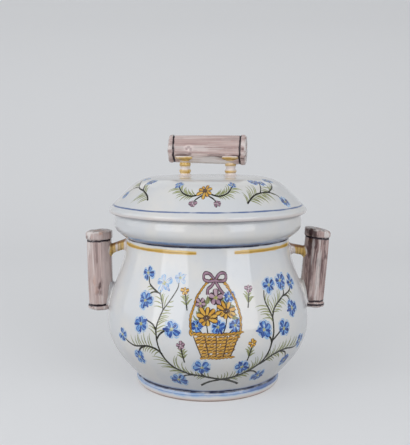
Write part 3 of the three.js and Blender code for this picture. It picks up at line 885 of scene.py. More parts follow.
for side, spot in (("left", LEFT_SET), ("right", RIGHT_SET)):
    spot["place"] = (Matrix.Rotation(spot["turn"], 4, "Z")
                     @ Matrix.Translation(Vector((-spot["reach"], 0, spot["height"])) * MM)
                     @ Matrix.Rotation(math.radians(-spot["lean"]), 4, "Y"))
    names = [side + "_handle_log", side + "_handle_top_cap", side + "_handle_bottom_cap"]
    side_rolls[side] = log_pieces(SIDE_LOG, spot["cut"], spot["place"], names, "jar",
                                  SIDE_MATERIALS[side], True)


# The slip seams: where a grip lies against the belly, soft slip was smoothed into the crease with a
# finger, up one side, over the narrow end of the finger gap and down the other. Glazed like the wall.

SEAM_STEPS = 48
SEAM_WIDEST = 66
SEAM_ARC = 8
SEAM_FROM = 25
SEAM_BULGE = 1.4
SEAM_SMEAR = 0.8
SEAM_BEND = 0.30


def seam_mesh(name, spot_of_grip):
    """A soft fillet between a grip and the wall, swept along the crease where they meet. Sizes in mm."""
    place = spot_of_grip["place"]
    least, at_gap = spot_of_grip["seam"]
    down = (place.to_3x3() @ Vector((0, 0, -1))).normalized()
    low = -SIDE_LOG["length"] / 2
    crease = []
    for step in range(SEAM_STEPS + 1):
        turn = math.radians(SEAM_WIDEST * (2 * step / SEAM_STEPS - 1))
        radius = pare(SIDE_LOG, SIDE_LOG["radius"] + 0.2, turn, -10)
        out = (place.to_3x3() @ Vector((math.cos(turn), math.sin(turn), 0))).normalized()
        start = place @ (Vector((radius * math.cos(turn), radius * math.sin(turn), SEAM_FROM)) * MM)
        spot, facing, _, far = WALL_SURFACE.ray_cast(start, down)
        if spot is not None and SEAM_FROM - far / MM > low + 0.5:
            crease.append((spot, facing, out))
    points = []
    for number, (spot, facing, out) in enumerate(crease):
        before, after = crease[max(0, number - 1)][0], crease[min(len(crease) - 1, number + 1)][0]
        way = (after - before).normalized()
        up_wall = way.cross(facing).normalized()
        up_log = out.cross(way).normalized()
        arch = math.sin(math.pi * (number / (len(crease) - 1)))
        smear = SEAM_SMEAR * noise.noise(spot / MM / 6)
        width = (least + SEAM_BULGE * arch + at_gap * arch ** 4 + smear) * MM
        on_wall = WALL_SURFACE.find_nearest(spot + up_wall * width)[0] - facing * 0.2 * MM
        on_log = spot + up_log * width * 1.15 - out * 0.3 * MM
        between = (facing + out).normalized()
        bend = spot + between * width * SEAM_BEND
        for step in range(SEAM_ARC + 1):
            arc = step / SEAM_ARC
            points.append(on_wall * (1 - arc) ** 2 + bend * (2 * arc * (1 - arc)) + on_log * arc ** 2)
        points.append(spot - between * 0.8 * MM)
    count = SEAM_ARC + 2
    last = len(points) - count
    faces = [(row + i, row + (i + 1) % count, row + count + (i + 1) % count, row + count + i)
             for row in range(0, last, count) for i in range(count)]
    faces += [list(range(count)), [last + i for i in range(count)]]
    mesh = plain_mesh(name, points, faces)
    outward(mesh)
    return mesh


seam_glaze, tree, glaze, shader = glazed_material("white glaze over the slip seams")
smear = fade(tree, cloud(tree, own_place(tree), 170.0, 3.0), 0.55, 0.72)
colour = colour_mix(tree, 0.15, glaze["Colour"], CLAY_BLUSH)
tree.links.new(painted(tree, smear, colour, MAUVE, 0.3), shader["Base Color"])
for side, spot in (("left", LEFT_SET), ("right", RIGHT_SET)):
    mesh = seam_mesh(side + "_slip_seam", spot)
    mesh.materials.append(seam_glaze)
    hand_over(set_in_scene(mesh.name, mesh), "jar")


# The struts: a short pulled strap of clay from the top of each grip to the neck, spread into the
# roll and into the wall with a wet finger. Ochre is brushed round it, and the wall end stays white.

PALE_OCHRE = srgb(226, 194, 120)
TOP_SHADE_OCHRE = srgb(134, 88, 52)
STRUT_ROWS = 28
STRUT_SIDES = 40
STRUT_HALF = (5.0, 4.7)
WALL_SPREAD = (2.6, 2.4, 4.0)
LOG_SPREAD = (2.8, 1.6, 3.9)
SUNK = 0.15
STRUTS = {
    "left": {"out": -1, "log_height": 129.0, "neck_height": 134.0, "top_shade": 0.8,
             "bands": [(92.2, 3.0), (84.6, 3.2)], "dark": [(92.8, 0.5), (84.2, 0.4), (86.4, 0.3)]},
    "right": {"out": 1, "log_height": 127.4, "neck_height": 129.8, "top_shade": 0.9,
              "bands": [(89.4, 4.7)], "dark": [(87.4, 0.4), (89.8, 0.5), (92.2, 0.3)]},
}


def fillet(size, far):
    """How much a fillet of a size adds to the clay's half width, that far from the surface it runs into."""
    return size - math.sqrt(size ** 2 - (size - far) ** 2) if far < size else 0.0


def strut_mesh(name, start, end, log_surface):
    """A bar of clay from the wall to a grip, spread over both. Points and sizes in mm.

    STRUT_HALF is (across, upright) at the waist. A spread gives the fillet's size across, above
    and below."""
    axis = (end - start).normalized()
    across = Vector((0, 1, 0))
    upright = axis.cross(across)
    upright = upright if upright.z > 0 else -upright
    length = (end - start).length
    points = []
    for side in range(STRUT_SIDES):
        turn = 2 * math.pi * side / STRUT_SIDES
        c, s = math.cos(turn), math.sin(turn)
        wall_size, log_size = (spread[0] * c * c + (spread[1] if s > 0 else spread[2]) * s * s
                               for spread in (WALL_SPREAD, LOG_SPREAD))
        for row in range(STRUT_ROWS + 1):
            share = 0.5 - 0.5 * math.cos(math.pi * row / STRUT_ROWS)
            swell = fillet(wall_size, share * length) + fillet(log_size, (1 - share) * length)
            aside = across * c * (STRUT_HALF[0] + swell) + upright * s * (STRUT_HALF[1] + swell)
            middle = (start + end) / 2 + aside
            low = WALL_SURFACE.ray_cast(middle * MM, -axis)[0]
            high = log_surface.ray_cast(middle * MM, axis)[0]
            low = (low / MM - middle).dot(axis) if low else -length / 2
            high = (high / MM - middle).dot(axis) if high else length / 2
            low = max(low, -length) - SUNK
            high = min(high, length) + SUNK
            points.append((middle + axis * (low + share * (high - low))) * MM)
    count = STRUT_ROWS + 1
    faces = []
    for side in range(STRUT_SIDES):
        first, after = side * count, (side + 1) % STRUT_SIDES * count
        faces += [(first + row, first + row + 1, after + row + 1, after + row) for row in range(STRUT_ROWS)]
    faces.append([side * count for side in range(STRUT_SIDES)])
    faces.append([side * count + STRUT_ROWS for side in range(STRUT_SIDES)])
    mesh = plain_mesh(name, points, faces)
    outward(mesh)
    return mesh


def ochre_material(name, along, bands, dark_bands, brown_top=0.0):
    """Ochre brushed over white, round a strut or a post that lies along X or Z.

    Bands are (place, half width) in mm."""
    made, tree, glaze, shader = glazed_material(name)
    height, aside, _ = place_on_jar(tree)
    across = math_node(tree, "ABSOLUTE", aside) if along == "X" else height
    blots = cloud(tree, own_place(tree), 260.0, 2.0)
    thick = colour_mix(tree, fade(tree, blots, 0.35, 0.62), PALE_OCHRE, OCHRE)
    colour = colour_mix(tree, 0.5, glaze["Colour"], CLAY_BLUSH)
    for number, (spot, half_width) in enumerate(bands):
        colour = line_round(tree, colour, across, spot, half_width, thick, 0.95, wander=0.3, softness=0.7,
                            seed=20.0 + number)
    for number, (spot, half_width) in enumerate(dark_bands):
        colour = line_round(tree, colour, across, spot, half_width, DARK_OCHRE, 0.7, wander=0.5,
                            softness=0.45, seed=30.0 + number)
    # Painted shade: the faces that look up, under the collar's overhang, are darkened towards burnt ochre.
    if brown_top:
        facing = parts_of(tree, node(tree, "ShaderNodeNewGeometry").outputs["Normal"])["Z"]
        edge = plus(tree, facing, times(tree, from_half(tree, blots), 0.8))
        colour = painted(tree, fade(tree, edge, 0.35, 0.80), colour, TOP_SHADE_OCHRE, brown_top)
    tree.links.new(colour, shader["Base Color"])
    return made


for side, grip in (("left", LEFT_SET), ("right", RIGHT_SET)):
    strut = STRUTS[side]
    start = Vector((strut["out"] * (NECK_RADIUS + 1.2), 0, strut["neck_height"]))
    end = Vector((strut["out"] * (grip["reach"] - SIDE_LOG["radius"]), 0, strut["log_height"]))
    mesh = strut_mesh(side + "_handle_strut_glazed", start, end, tree_of(side_rolls[side]))
    mesh.materials.append(ochre_material("ochre on white, " + side + " strut", "X", strut["bands"],
                                         strut["dark"], strut["top_shade"]))
    hand_over(set_in_scene(mesh.name, mesh), "jar", side + "_handle_strut")


# The lid: thrown upside down and turned, with a rounded lip that overhangs the collar, a straight
# slope, a round shoulder and a flat crown. One thin blue line runs round above the lip.

LID_RADIUS = 94.8
LIP_INNER = 91.6
SLOPE_TOP = 76.0
LID_HEIGHT = 200.0
RING_INNER = 75.5
RING_OUTER = 79.3
RING_DROP = 7.4
LID_LINE_HEIGHT = 173.6
LINE_BLUE = srgb(58, 92, 150)
CONTACT_SHADE_MAUVE = srgb(158, 146, 158)

lid_glaze, tree, glaze, shader = glazed_material("white lid glaze with a blue line")
height, *_ = place_on_jar(tree)
outside = outside_of(tree, LIP_INNER - 1)
blush = fade(tree, height, (SEAT_HEIGHT + 4.8) * MM, (SEAT_HEIGHT + 2.3) * MM)
colour = painted(tree, blush, glaze["Colour"], CLAY_BLUSH, 0.35, outside)
# Painted shade: a soft greyish mauve line low on the lip, where it sits on the collar.
colour = line_round(tree, colour, height, SEAT_HEIGHT + 0.5, 0.45, CONTACT_SHADE_MAUVE, where=outside, wander=0.1,
                    seed=7.0)
colour = line_round(tree, colour, height, LID_LINE_HEIGHT, 0.55, LINE_BLUE, 0.9,
                    outside_of(tree, SLOPE_TOP + 6), wander=0.2, softness=0.3, seed=8.0)
tree.links.new(colour, shader["Base Color"])
underside = SEAT_HEIGHT + 0.3
ceiling = LID_HEIGHT - WALL
lid_dome = turned_piece(
    "lid_dome", "lid", lid_glaze, (0, ceiling), (22, ceiling, 40, ceiling - 0.9, 52, ceiling - 2.4),
    (62, ceiling - 2.2, RING_INNER - 8.5, ceiling - 7, RING_INNER - 4, ceiling - 12),
    (RING_INNER + 0.5, ceiling - 17, RING_INNER + 1.9, underside + 6.5, RING_INNER, underside),
    (LIP_INNER, underside),
    (LID_RADIUS - 0.9, underside, LID_RADIUS, SEAT_HEIGHT + 1.4, LID_RADIUS, SEAT_HEIGHT + 3.2),
    (LID_RADIUS, SEAT_HEIGHT + 4.4, LID_RADIUS - 0.6, SEAT_HEIGHT + 5.3,
     LID_RADIUS - 1.8, SEAT_HEIGHT + 6.2),
    (SLOPE_TOP, LID_HEIGHT - 12),
    (SLOPE_TOP - 5, LID_HEIGHT - 7, SLOPE_TOP - 11, LID_HEIGHT - 2.6, SLOPE_TOP - 21, LID_HEIGHT - 1.2),
    (SLOPE_TOP - 34, LID_HEIGHT - 0.2, SLOPE_TOP - 52, LID_HEIGHT, 0, LID_HEIGHT))


# The locating ring: a turned ring luted under the lid, which drops inside the collar and keeps the
# lid centred. Plain white glaze.

ring_tip = SEAT_HEIGHT - RING_DROP
turned_piece(
    "lid_locating_ring", "lid", glazed_material("white glaze under the lid")[0],
    (RING_INNER + 0.9, ring_tip), (RING_OUTER - 1.5, ring_tip),
    (RING_OUTER - 0.6, ring_tip + 0.3, RING_OUTER, ring_tip + 1.2, RING_OUTER, ring_tip + 2.2),
    (RING_OUTER, underside + 0.2), (RING_INNER, underside + 0.2), (RING_INNER, ring_tip + 0.9),
    (RING_INNER + 0.1, ring_tip + 0.3, RING_INNER + 0.4, ring_tip, RING_INNER + 0.9, ring_tip))


# The lid's grip: a heavier log of the same make, thicker at its right end, which lies a little lower.
# The brush was drawn straight along it, and left its underside nearly white between the posts.

HEIGHT = 239.0
LID_LOG = {"length": 75.2, "radius": 13.4, "cap": 14.0, "high": 6.0, "low": 5.0, "taper": 0.045}
LID_LOG_TURN = math.radians(-6)
LID_LOG_TILT = math.radians(1)
LID_LOG_AXIS = HEIGHT - LID_LOG["cap"] * (1 - 0.018)

half = LID_LOG["length"] / 2
KNOT_ROSE = srgb(232, 208, 204)
GARNET = srgb(120, 52, 60)
# The broad white patch low on the front of the middle is a painted highlight, and the three thin dark
# streaks low on the front beside the posts are painted shade above the posts.
LID_MARKS = [
    ((-1.0, -13.4, -17.2), 4.6, 0.9, KNOT_ROSE, 0.65), ((1.6, -13.3, -17.0), 2.3, 1.0, KNOT_ROSE, 1.0),
    ((-0.2, -13.4, -19.0), 1.4, 1.0, GARNET, 0.9), ((-2.0, -13.3, -17.0), 1.2, 1.0, GARNET, 0.75),
    ((0.4, -13.4, -14.9), 1.3, 1.0, GARNET, 0.85), ((3.6, -12.9, -15.6), 1.5, 0.6, BROWN, 0.85),
    ((-6.0, -12.0, half - 2.0), 3.4, 0.8, BARE_WHITE_AND_HIGHLIGHT, 0.6),
    ((-0.6, -13.8, half - 3.4), 1.6, 1.0, BROWN, 0.7),
    ((8.0, -10.6, half - 2.8), 1.8, 0.8, BROWN, 0.6), ((-3.0, -13.2, 2.4 - half), 2.6, 0.8, BARE_WHITE_AND_HIGHLIGHT, 0.6),
    ((6.4, -11.8, 16.0), 2.6, 0.10, BROWN, 0.7), ((7.2, -11.2, 24.0), 2.2, 0.12, BROWN, 0.7),
    ((-1.0, -13.6, -6.0), 3.2, 0.12, BARE_WHITE_AND_HIGHLIGHT, 0.5), ((6.8, -11.6, -25.0), 2.4, 0.16, BROWN, 0.7),
    ((9.4, -9.4, 2.0), 4.6, 0.28, BARE_WHITE_AND_HIGHLIGHT, 0.85), ((3.4, -13.2, half - 1.8), 2.6, 0.8, BARE_WHITE_AND_HIGHLIGHT, 0.5),
    ((6.6, -12.0, 1.8 - half), 2.2, 0.8, BARE_WHITE_AND_HIGHLIGHT, 0.5), ((2.6, -13.2, 3.0 - half), 1.2, 0.8, BROWN, 0.5),
]
LID_RINGS = [(half - 6.3, 0.0, 0.0), (5.3 - half, 0.03, -0.05)]
lid_log_material = mauve_material("mauve glaze, lid grip", LID_RINGS, 23.0, LID_MARKS, straight=0.022,
                                  stripe=760.0, dark=0.5, pale=0.5, tone=0.7, bare_under=0.9)
lid_log_place = (Matrix.Rotation(LID_LOG_TURN, 4, "Z") @ Matrix.Translation((0, 0, LID_LOG_AXIS * MM))
                 @ Matrix.Rotation(math.pi / 2 + LID_LOG_TILT, 4, "Y"))
names = ["lid_handle_log", "lid_handle_right_cap", "lid_handle_left_cap"]
lid_roll = log_pieces(LID_LOG, (0.0, 0.0), lid_log_place, names, "lid", lid_log_material, False)


# The posts: two short columns that stand on the crown. Each spreads over the lid in a flare of slip,
# has two soft beads, and spreads at its head into a saddle that comes a good way up round the log.

POST_SPACING = 44.0
POST_SIDES = 72
POST_TOP = 219.2
POST_SADDLE = 9.4
POST_CRISP = math.radians(50)
SADDLE_DEPTH = 15.4
POST_DEEPENS_FROM = 197.0
POST_DEEPENS_OVER = 22.0
POST_SQUARES_FROM = 0.68
POST_SQUARED = 0.42
POST_BANDS = {
    "left": ([(216.3, 2.1), (211.0, 2.0), (204.3, 1.9)], [(215.4, 0.5), (210.0, 0.3)]),
    "right": ([(216.3, 1.8), (211.0, 1.6), (203.9, 1.3)], [(216.2, 0.5), (210.4, 0.35), (203.4, 0.3)]),
}
lid_roll_surface = tree_of(lid_roll)


def post_mesh(name, stand, material):
    """Turns a post, deepens it upwards, stands it under the log and cups its head to the log's underside."""
    outline = outline_of(
        name, (0, LID_HEIGHT - 0.3), (8.2, LID_HEIGHT - 0.3), (8.0, LID_HEIGHT - 0.1),
        (6.2, 200.2, 4.9, 200.9, 4.85, 202.6), (5.0, 203.4, 5.7, 203.6, 5.7, 204.5),
        (5.7, 205.6, 4.7, 205.9, 4.7, 207.4), (4.7, 208.8, 5.4, 209.4, 5.4, 210.6),
        (5.4, 211.6, 4.9, 211.9, 5.1, 213.0), (5.4, 214.4, 7.0, 215.4, 8.6, 216.6),
        (9.1, 217.0, POST_SADDLE, 217.8, 9.1, 218.7), (9.0, POST_TOP, 8.6, POST_TOP, 8.2, POST_TOP),
        (0, POST_TOP))
    made = run_nodes(name, WHEEL, bpy.data.meshes.new(name + " blank"), outline=outline, sides=POST_SIDES,
                     crisp_above=POST_CRISP, glaze=material)
    bpy.data.objects.remove(outline)
    turn = Matrix.Rotation(LID_LOG_TURN, 3, "Z")
    for vertex in made.data.vertices:
        rise = max(0.0, (vertex.co.z / MM - POST_DEEPENS_FROM) / POST_DEEPENS_OVER)
        reach = math.hypot(vertex.co.x, vertex.co.y)
        if reach > 0:
            squared = 1 - POST_SQUARED * min(1.0, max(0.0, (rise - POST_SQUARES_FROM) * 7))
            vertex.co.x = math.copysign(reach * abs(vertex.co.x / reach) ** squared, vertex.co.x)
            vertex.co.y = math.copysign(reach * abs(vertex.co.y / reach) ** squared, vertex.co.y)
        vertex.co.y *= 1 + (SADDLE_DEPTH / POST_SADDLE - 1) * rise
        vertex.co = turn @ vertex.co + stand * MM
        crown = Vector((vertex.co.x, vertex.co.y, LID_HEIGHT * MM))
        under_log = lid_roll_surface.ray_cast(crown, Vector((0, 0, 1)))[0]
        if under_log is not None:
            vertex.co.z = min(vertex.co.z, under_log.z + SUNK * MM)
    outward(made.data)
    return made


along_log = Vector((math.cos(LID_LOG_TURN), math.sin(LID_LOG_TURN), 0))
for side, out in (("left", -1), ("right", 1)):
    bands, dark_bands = POST_BANDS[side]
    material = ochre_material("ochre on white, " + side + " post", "Z", bands, dark_bands)
    post = post_mesh("lid_handle_" + side + "_post_glazed", along_log * (out * POST_SPACING / 2), material)
    hand_over(post, "lid", "lid_handle_" + side + "_post")


# The garland: two flowering branches that cross under the front and climb both sides of the belly,
# painted with a pointed brush on the raw glaze and sunk into it in the firing. Each stroke is a thin
# skin laid on the wall: sage fronds first, then olive stems, then cobalt petals and their hearts.

PAINT_DEPTH = 0.10
LAY_FROM_SIDE = 0.20
LAY_FROM_TOP = 0.30
TOP_STARTS = -1e-7
STROKE_CRISP = math.radians(50)
BARB_POINTS = 7
BARB_SWAY = 0.16
BARB_WAIST = 0.22
PETAL_POINTS = 9
PETAL_SWAY = 0.20
PETAL_ROOT = 0.13
PETAL_HEEL = 0.70
PETAL_TIP = 0.38
PETAL_BROADEST = 1.62


def attribute(tree, name, kind="FLOAT"):
    return node(tree, "GeometryNodeInputNamedAttribute", {"Name": name}, data_type=kind).outputs["Attribute"]


def keep(tree, geometry, name, value, kind="FLOAT", domain="POINT"):
    return node(tree, "GeometryNodeStoreNamedAttribute",
                {"Geometry": geometry, "Name": name, "Value": value}, data_type=kind,
                domain=domain).outputs["Geometry"]


def random_node(tree, low, high, seed, later=0):
    """A random measure for each mark. Later ones are drawn with the next seeds."""
    seed = plus(tree, seed, later) if later else seed
    return node(tree, "FunctionNodeRandomValue", {2: low, 3: high, 8: seed}, data_type="FLOAT").outputs[1]


def if_above(tree, given, above, beside, kind="VECTOR"):
    """One thing where a drawing is laid on from above, and another where it's laid on from the side."""
    return node(tree, "GeometryNodeSwitch", {"Switch": given["From above"], "False": beside, "True": above},
                input_type=kind).outputs[0]


def find_surface(tree, given, x, y):
    """Where a spot of the flat drawing falls on the jar, and the way the surface faces there."""
    turn = math_node(tree, "DIVIDE", x, given["Girth"])
    out_x = math_node(tree, "SINE", turn)
    out_y = times(tree, math_node(tree, "COSINE", turn), -1.0)
    radius = minus(tree, given["Rim"], y)
    beside = vector_node(tree, times(tree, out_x, LAY_FROM_SIDE), times(tree, out_y, LAY_FROM_SIDE), y)
    inward = vector_node(tree, times(tree, out_x, -1.0), times(tree, out_y, -1.0), 0.0)
    above = vector_node(tree, times(tree, out_x, radius), times(tree, out_y, radius), LAY_FROM_TOP)
    start = if_above(tree, given, above, beside)
    way = if_above(tree, given, (0.0, 0.0, -1.0), inward)
    surface = node(tree, "GeometryNodeObjectInfo", {"Object": given["Surface"]}).outputs["Geometry"]
    facing = node(tree, "GeometryNodeInputNormal").outputs["Normal"]
    found = node(tree, "GeometryNodeRaycast",
                 {"Target Geometry": surface, "Attribute": facing, "Source Position": start,
                  "Ray Direction": way, "Ray Length": 1.0},
                 data_type="FLOAT_VECTOR", mapping="INTERPOLATED").outputs
    return found["Hit Position"], found["Attribute"]


def true_scale(tree, given, size):
    """The size that a mark needs in the flat drawing, so that it has its true size and shape on the jar."""
    spot = parts_of(tree, here(tree))
    place, facing = find_surface(tree, given, spot["X"], spot["Y"])
    rise = parts_of(tree, facing)["Z"]
    level = math_node(tree, "SQRT", minus(tree, 1.0, times(tree, rise, rise)))
    broad = times(tree, size, math_node(tree, "DIVIDE", given["Girth"], from_axis(tree, place)))
    return vector_node(tree, broad, times(tree, size, if_above(tree, given, rise, level, "FLOAT")), size)


def new_brush(name):
    """An empty tree for a brush, with the inputs that all of them have."""
    tree = bpy.data.node_groups.new(name, "GeometryNodeTree")
    add_input(tree, "Geometry", "NodeSocketGeometry")
    add_input(tree, "Surface", "NodeSocketObject")
    add_input(tree, "From above", "NodeSocketBool", False)
    add_input(tree, "Girth", "NodeSocketFloat", BELLY_RADIUS * MM)
    add_input(tree, "Rim", "NodeSocketFloat", 0.0)
    add_input(tree, "Lift", "NodeSocketFloat", 0.06 * MM)
    add_input(tree, "Step", "NodeSocketFloat", 1.5 * MM)
    add_input(tree, "Seed", "NodeSocketInt", 1)
    add_input(tree, "Paint", "NodeSocketMaterial")
    tree.interface.new_socket("Geometry", in_out="OUTPUT", socket_type="NodeSocketGeometry")
    return tree, node(tree, "NodeGroupInput").outputs


def lay_strokes(tree, given, curves, breadth, cuts=0):
    """Gives flat brush lines their breadth and lays them on the jar, each as a closed thin skin."""
    curves = keep(tree, curves, "breadth", breadth)
    curves = node(tree, "GeometryNodeSetCurveNormal", {"Curve": curves}, mode="Z_UP").outputs[0]
    brush = node(tree, "GeometryNodeCurvePrimitiveQuadrilateral", {"Width": 2.0, "Height": 2.0}).outputs[0]
    brush = node(tree, "GeometryNodeSubdivideCurve", {"Curve": brush, "Cuts": cuts}).outputs[0]
    brush = keep(tree, brush, "across", parts_of(tree, here(tree))["X"])
    skins = node(tree, "GeometryNodeCurveToMesh",
                 {"Curve": curves, "Profile Curve": brush, "Fill Caps": True,
                  "Scale": attribute(tree, "breadth")}).outputs[0]
    flat = parts_of(tree, here(tree))
    spot, facing = find_surface(tree, given, flat["X"], flat["Y"])
    on_top = math_node(tree, "GREATER_THAN", flat["Z"], TOP_STARTS)
    depth = PAINT_DEPTH * MM
    lift = times_plus(tree, on_top, plus(tree, given["Lift"], depth), -depth)
    raised = node(tree, "ShaderNodeVectorMath", {0: facing, "Scale": lift}, operation="SCALE").outputs[0]
    laid = set_place(tree, skins, vector_math(tree, "ADD", spot, raised))
    end_tree(tree, smooth_to(tree, laid, STROKE_CRISP), given["Paint"])
    return tree


def set_place(tree, geometry, place):
    return node(tree, "GeometryNodeSetPosition", {"Geometry": geometry, "Position": place}).outputs[0]


def smooth_lines(tree, given):
    """The lines of a drawing as smooth curves, with a point at every step."""
    curves = node(tree, "GeometryNodeMeshToCurve", {"Mesh": given["Geometry"]}).outputs[0]
    curves = node(tree, "GeometryNodeCurveSplineType", {"Curve": curves}, spline_type="CATMULL_ROM")
    return node(tree, "GeometryNodeResampleCurve", {"Curve": curves.outputs[0], "Length": given["Step"]},
                mode="LENGTH").outputs[0]


def brush_line_nodes():
    """Long brush lines, such as stems: each follows its drawn points, and is as broad as drawn there."""
    tree, given = new_brush("brush lines")
    curves = smooth_lines(tree, given)
    shake = times_plus(tree, cloud(tree, here(tree), 260.0, 1.0), 0.9, 0.75)
    return lay_strokes(tree, given, curves, times(tree, attribute(tree, "breadth"), shake))


def short_strokes(tree, points, foot_at, count, heading, full, **kept):
    """Stands a short stroke on each point and turns it.

    Returns the strokes, their roots and the way from the root to each spot of a stroke."""
    stroke = node(tree, "GeometryNodeCurvePrimitiveLine",
                  {"Start": (foot_at, 0.0, 0.0), "End": (1.0, 0.0, 0.0)}).outputs[0]
    stroke = node(tree, "GeometryNodeResampleCurve", {"Curve": stroke, "Count": count},
                  mode="COUNT").outputs[0]
    stroke = keep(tree, stroke, "along", node(tree, "GeometryNodeSplineParameter").outputs["Factor"])
    turned = vector_node(tree, 0.0, 0.0, heading)
    standing = node(tree, "GeometryNodeInstanceOnPoints",
                    {"Points": points, "Instance": stroke, "Rotation": turned}).outputs[0]
    standing = keep(tree, standing, "full", full, "FLOAT_VECTOR", "INSTANCE")
    standing = keep(tree, standing, "root", here(tree), "FLOAT_VECTOR", "INSTANCE")
    for name, value in kept.items():
        standing = keep(tree, standing, name, value, "FLOAT", "INSTANCE")
    curves = node(tree, "GeometryNodeRealizeInstances", {"Geometry": standing}).outputs[0]
    root = attribute(tree, "root", "FLOAT_VECTOR")
    return curves, root, vector_math(tree, "SUBTRACT", here(tree), root)


def grown_to(tree, curves, root, from_root):
    """Brings strokes from the length of one metre, at which they stand, to their full size."""
    grown = vector_math(tree, "MULTIPLY", from_root, attribute(tree, "full", "FLOAT_VECTOR"))
    return set_place(tree, curves, vector_math(tree, "ADD", root, grown))


def frond_nodes():
    """Rows of short strokes along drawn lines: the barbs of a frond, or the weave of a basket."""
    tree, given = new_brush("strokes along a line")
    seed = given["Seed"]
    way = node(tree, "GeometryNodeInputTangent").outputs[0]
    rows = keep(tree, smooth_lines(tree, given), "way", way, "FLOAT_VECTOR")
    points = node(tree, "GeometryNodeCurveToPoints", {"Curve": rows}, mode="EVALUATED").outputs["Points"]
    way = parts_of(tree, attribute(tree, "way", "FLOAT_VECTOR"))
    lean = plus(tree, attribute(tree, "lean"), random_node(tree, -BARB_SWAY, BARB_SWAY, seed))
    heading = plus(tree, math_node(tree, "ARCTAN2", way["Y"], way["X"]), lean)
    reach = times(tree, attribute(tree, "reach"), random_node(tree, 0.72, 1.12, seed, 1))
    curves, root, from_root = short_strokes(tree, points, 0.0, BARB_POINTS, heading,
                                            true_scale(tree, given, reach))
    along = attribute(tree, "along")
    bow = times(tree, along, along, attribute(tree, "bend"))
    parts = parts_of(tree, from_root)
    bent = vector_node(tree, minus(tree, parts["X"], times(tree, parts["Y"], bow)),
                       plus(tree, parts["Y"], times(tree, parts["X"], bow)), 0.0)
    curves = grown_to(tree, curves, root, bent)
    swell = math_node(tree, "SINE", times(tree, math_node(tree, "POWER", along, 0.7), math.pi))
    swell = times_plus(tree, swell, 1 - BARB_WAIST, BARB_WAIST)
    return lay_strokes(tree, given, curves, times(tree, attribute(tree, "breadth"), swell))


def blossom_nodes():
    """Petals round a heart: each drawn point becomes a flower of its own size, number of petals and turn."""
    tree, given = new_brush("petals round a heart")
    seed = given["Seed"]
    points = node(tree, "GeometryNodeMeshToPoints", {"Mesh": given["Geometry"]}).outputs[0]
    petals = node(tree, "GeometryNodeDuplicateElements",
                  {"Geometry": points, "Amount": attribute(tree, "petals")}, domain="POINT").outputs
    share = math_node(tree, "DIVIDE", petals["Duplicate Index"], attribute(tree, "petals"))
    heading = times_plus(tree, share, 2 * math.pi, attribute(tree, "turn"))
    heading = plus(tree, heading, random_node(tree, -PETAL_SWAY, PETAL_SWAY, seed))
    size = times(tree, attribute(tree, "size"), random_node(tree, 0.74, 1.14, seed, 1))
    full = vector_math(tree, "MULTIPLY", true_scale(tree, given, size),
                       vector_node(tree, 1.0, attribute(tree, "stretch"), 1.0))
    wash = times(tree, attribute(tree, "wash"), random_node(tree, 0.62, 1.08, seed, 2))
    curves, root, from_root = short_strokes(tree, petals["Geometry"], PETAL_ROOT, PETAL_POINTS, heading,
                                            full, wash=wash, pick=random_node(tree, 0.0, 1.0, seed, 3))
    curves = grown_to(tree, curves, root, from_root)
    along = attribute(tree, "along")
    heel = math_node(tree, "POWER", plus(tree, along, 0.04), PETAL_HEEL)
    tip = math_node(tree, "POWER", minus(tree, 1.010, along), PETAL_TIP)
    fat = times(tree, attribute(tree, "size"), attribute(tree, "fat"))
    return lay_strokes(tree, given, curves, times(tree, fat, times(tree, heel, tip, PETAL_BROADEST)), cuts=1)


BRUSH_LINES = brush_line_nodes()
STROKES_ALONG = frond_nodes()
BLOSSOMS = blossom_nodes()
BELLY_SHEET = {"body": "jar", "surface": jar_wall, "from_above": False, "girth": BELLY_RADIUS * MM,
               "rim": 0.0}


def flat_spot(turn, height):
    """A spot of the flat drawing, in metres, from degrees round the jar and mm of height."""
    return Vector((math.radians(turn) * BELLY_RADIUS, height, 0)) * MM


def drawing(name, lines):
    """A flat drawing as a mesh of lines, or of single points. Each line is (its spots, its measures)."""
    points, edges, kept = [], [], {}
    for spots, own in lines:
        first = len(points)
        points += spots
        edges += [(first + i, first + i + 1) for i in range(len(spots) - 1)]
        for i in range(len(spots)):
            share = i / max(1, len(spots) - 1)
            for measure, value in {**own, "along": share}.items():
                value = value[0] + (value[1] - value[0]) * share if isinstance(value, tuple) else value
                kept.setdefault(measure, []).append(value)
    mesh = bpy.data.meshes.new(name)
    mesh.from_pydata(points, edges, [])
    for measure, values in kept.items():
        keep_measure(mesh, measure, "INT" if measure == "petals" else "FLOAT", values)
    return mesh


def paint(name, brush, lines, pot, lift, step=1.5, seed=1, sheet=BELLY_SHEET):
    """Lays a drawing on the jar with one brush and one pot of paint. Lift and step in mm."""
    slot, material = pot
    made = run_nodes(name, brush, drawing(name, lines), paint=material, lift=lift * MM, step=step * MM,
                     seed=seed, **sheet)
    hand_over(made, sheet["body"])


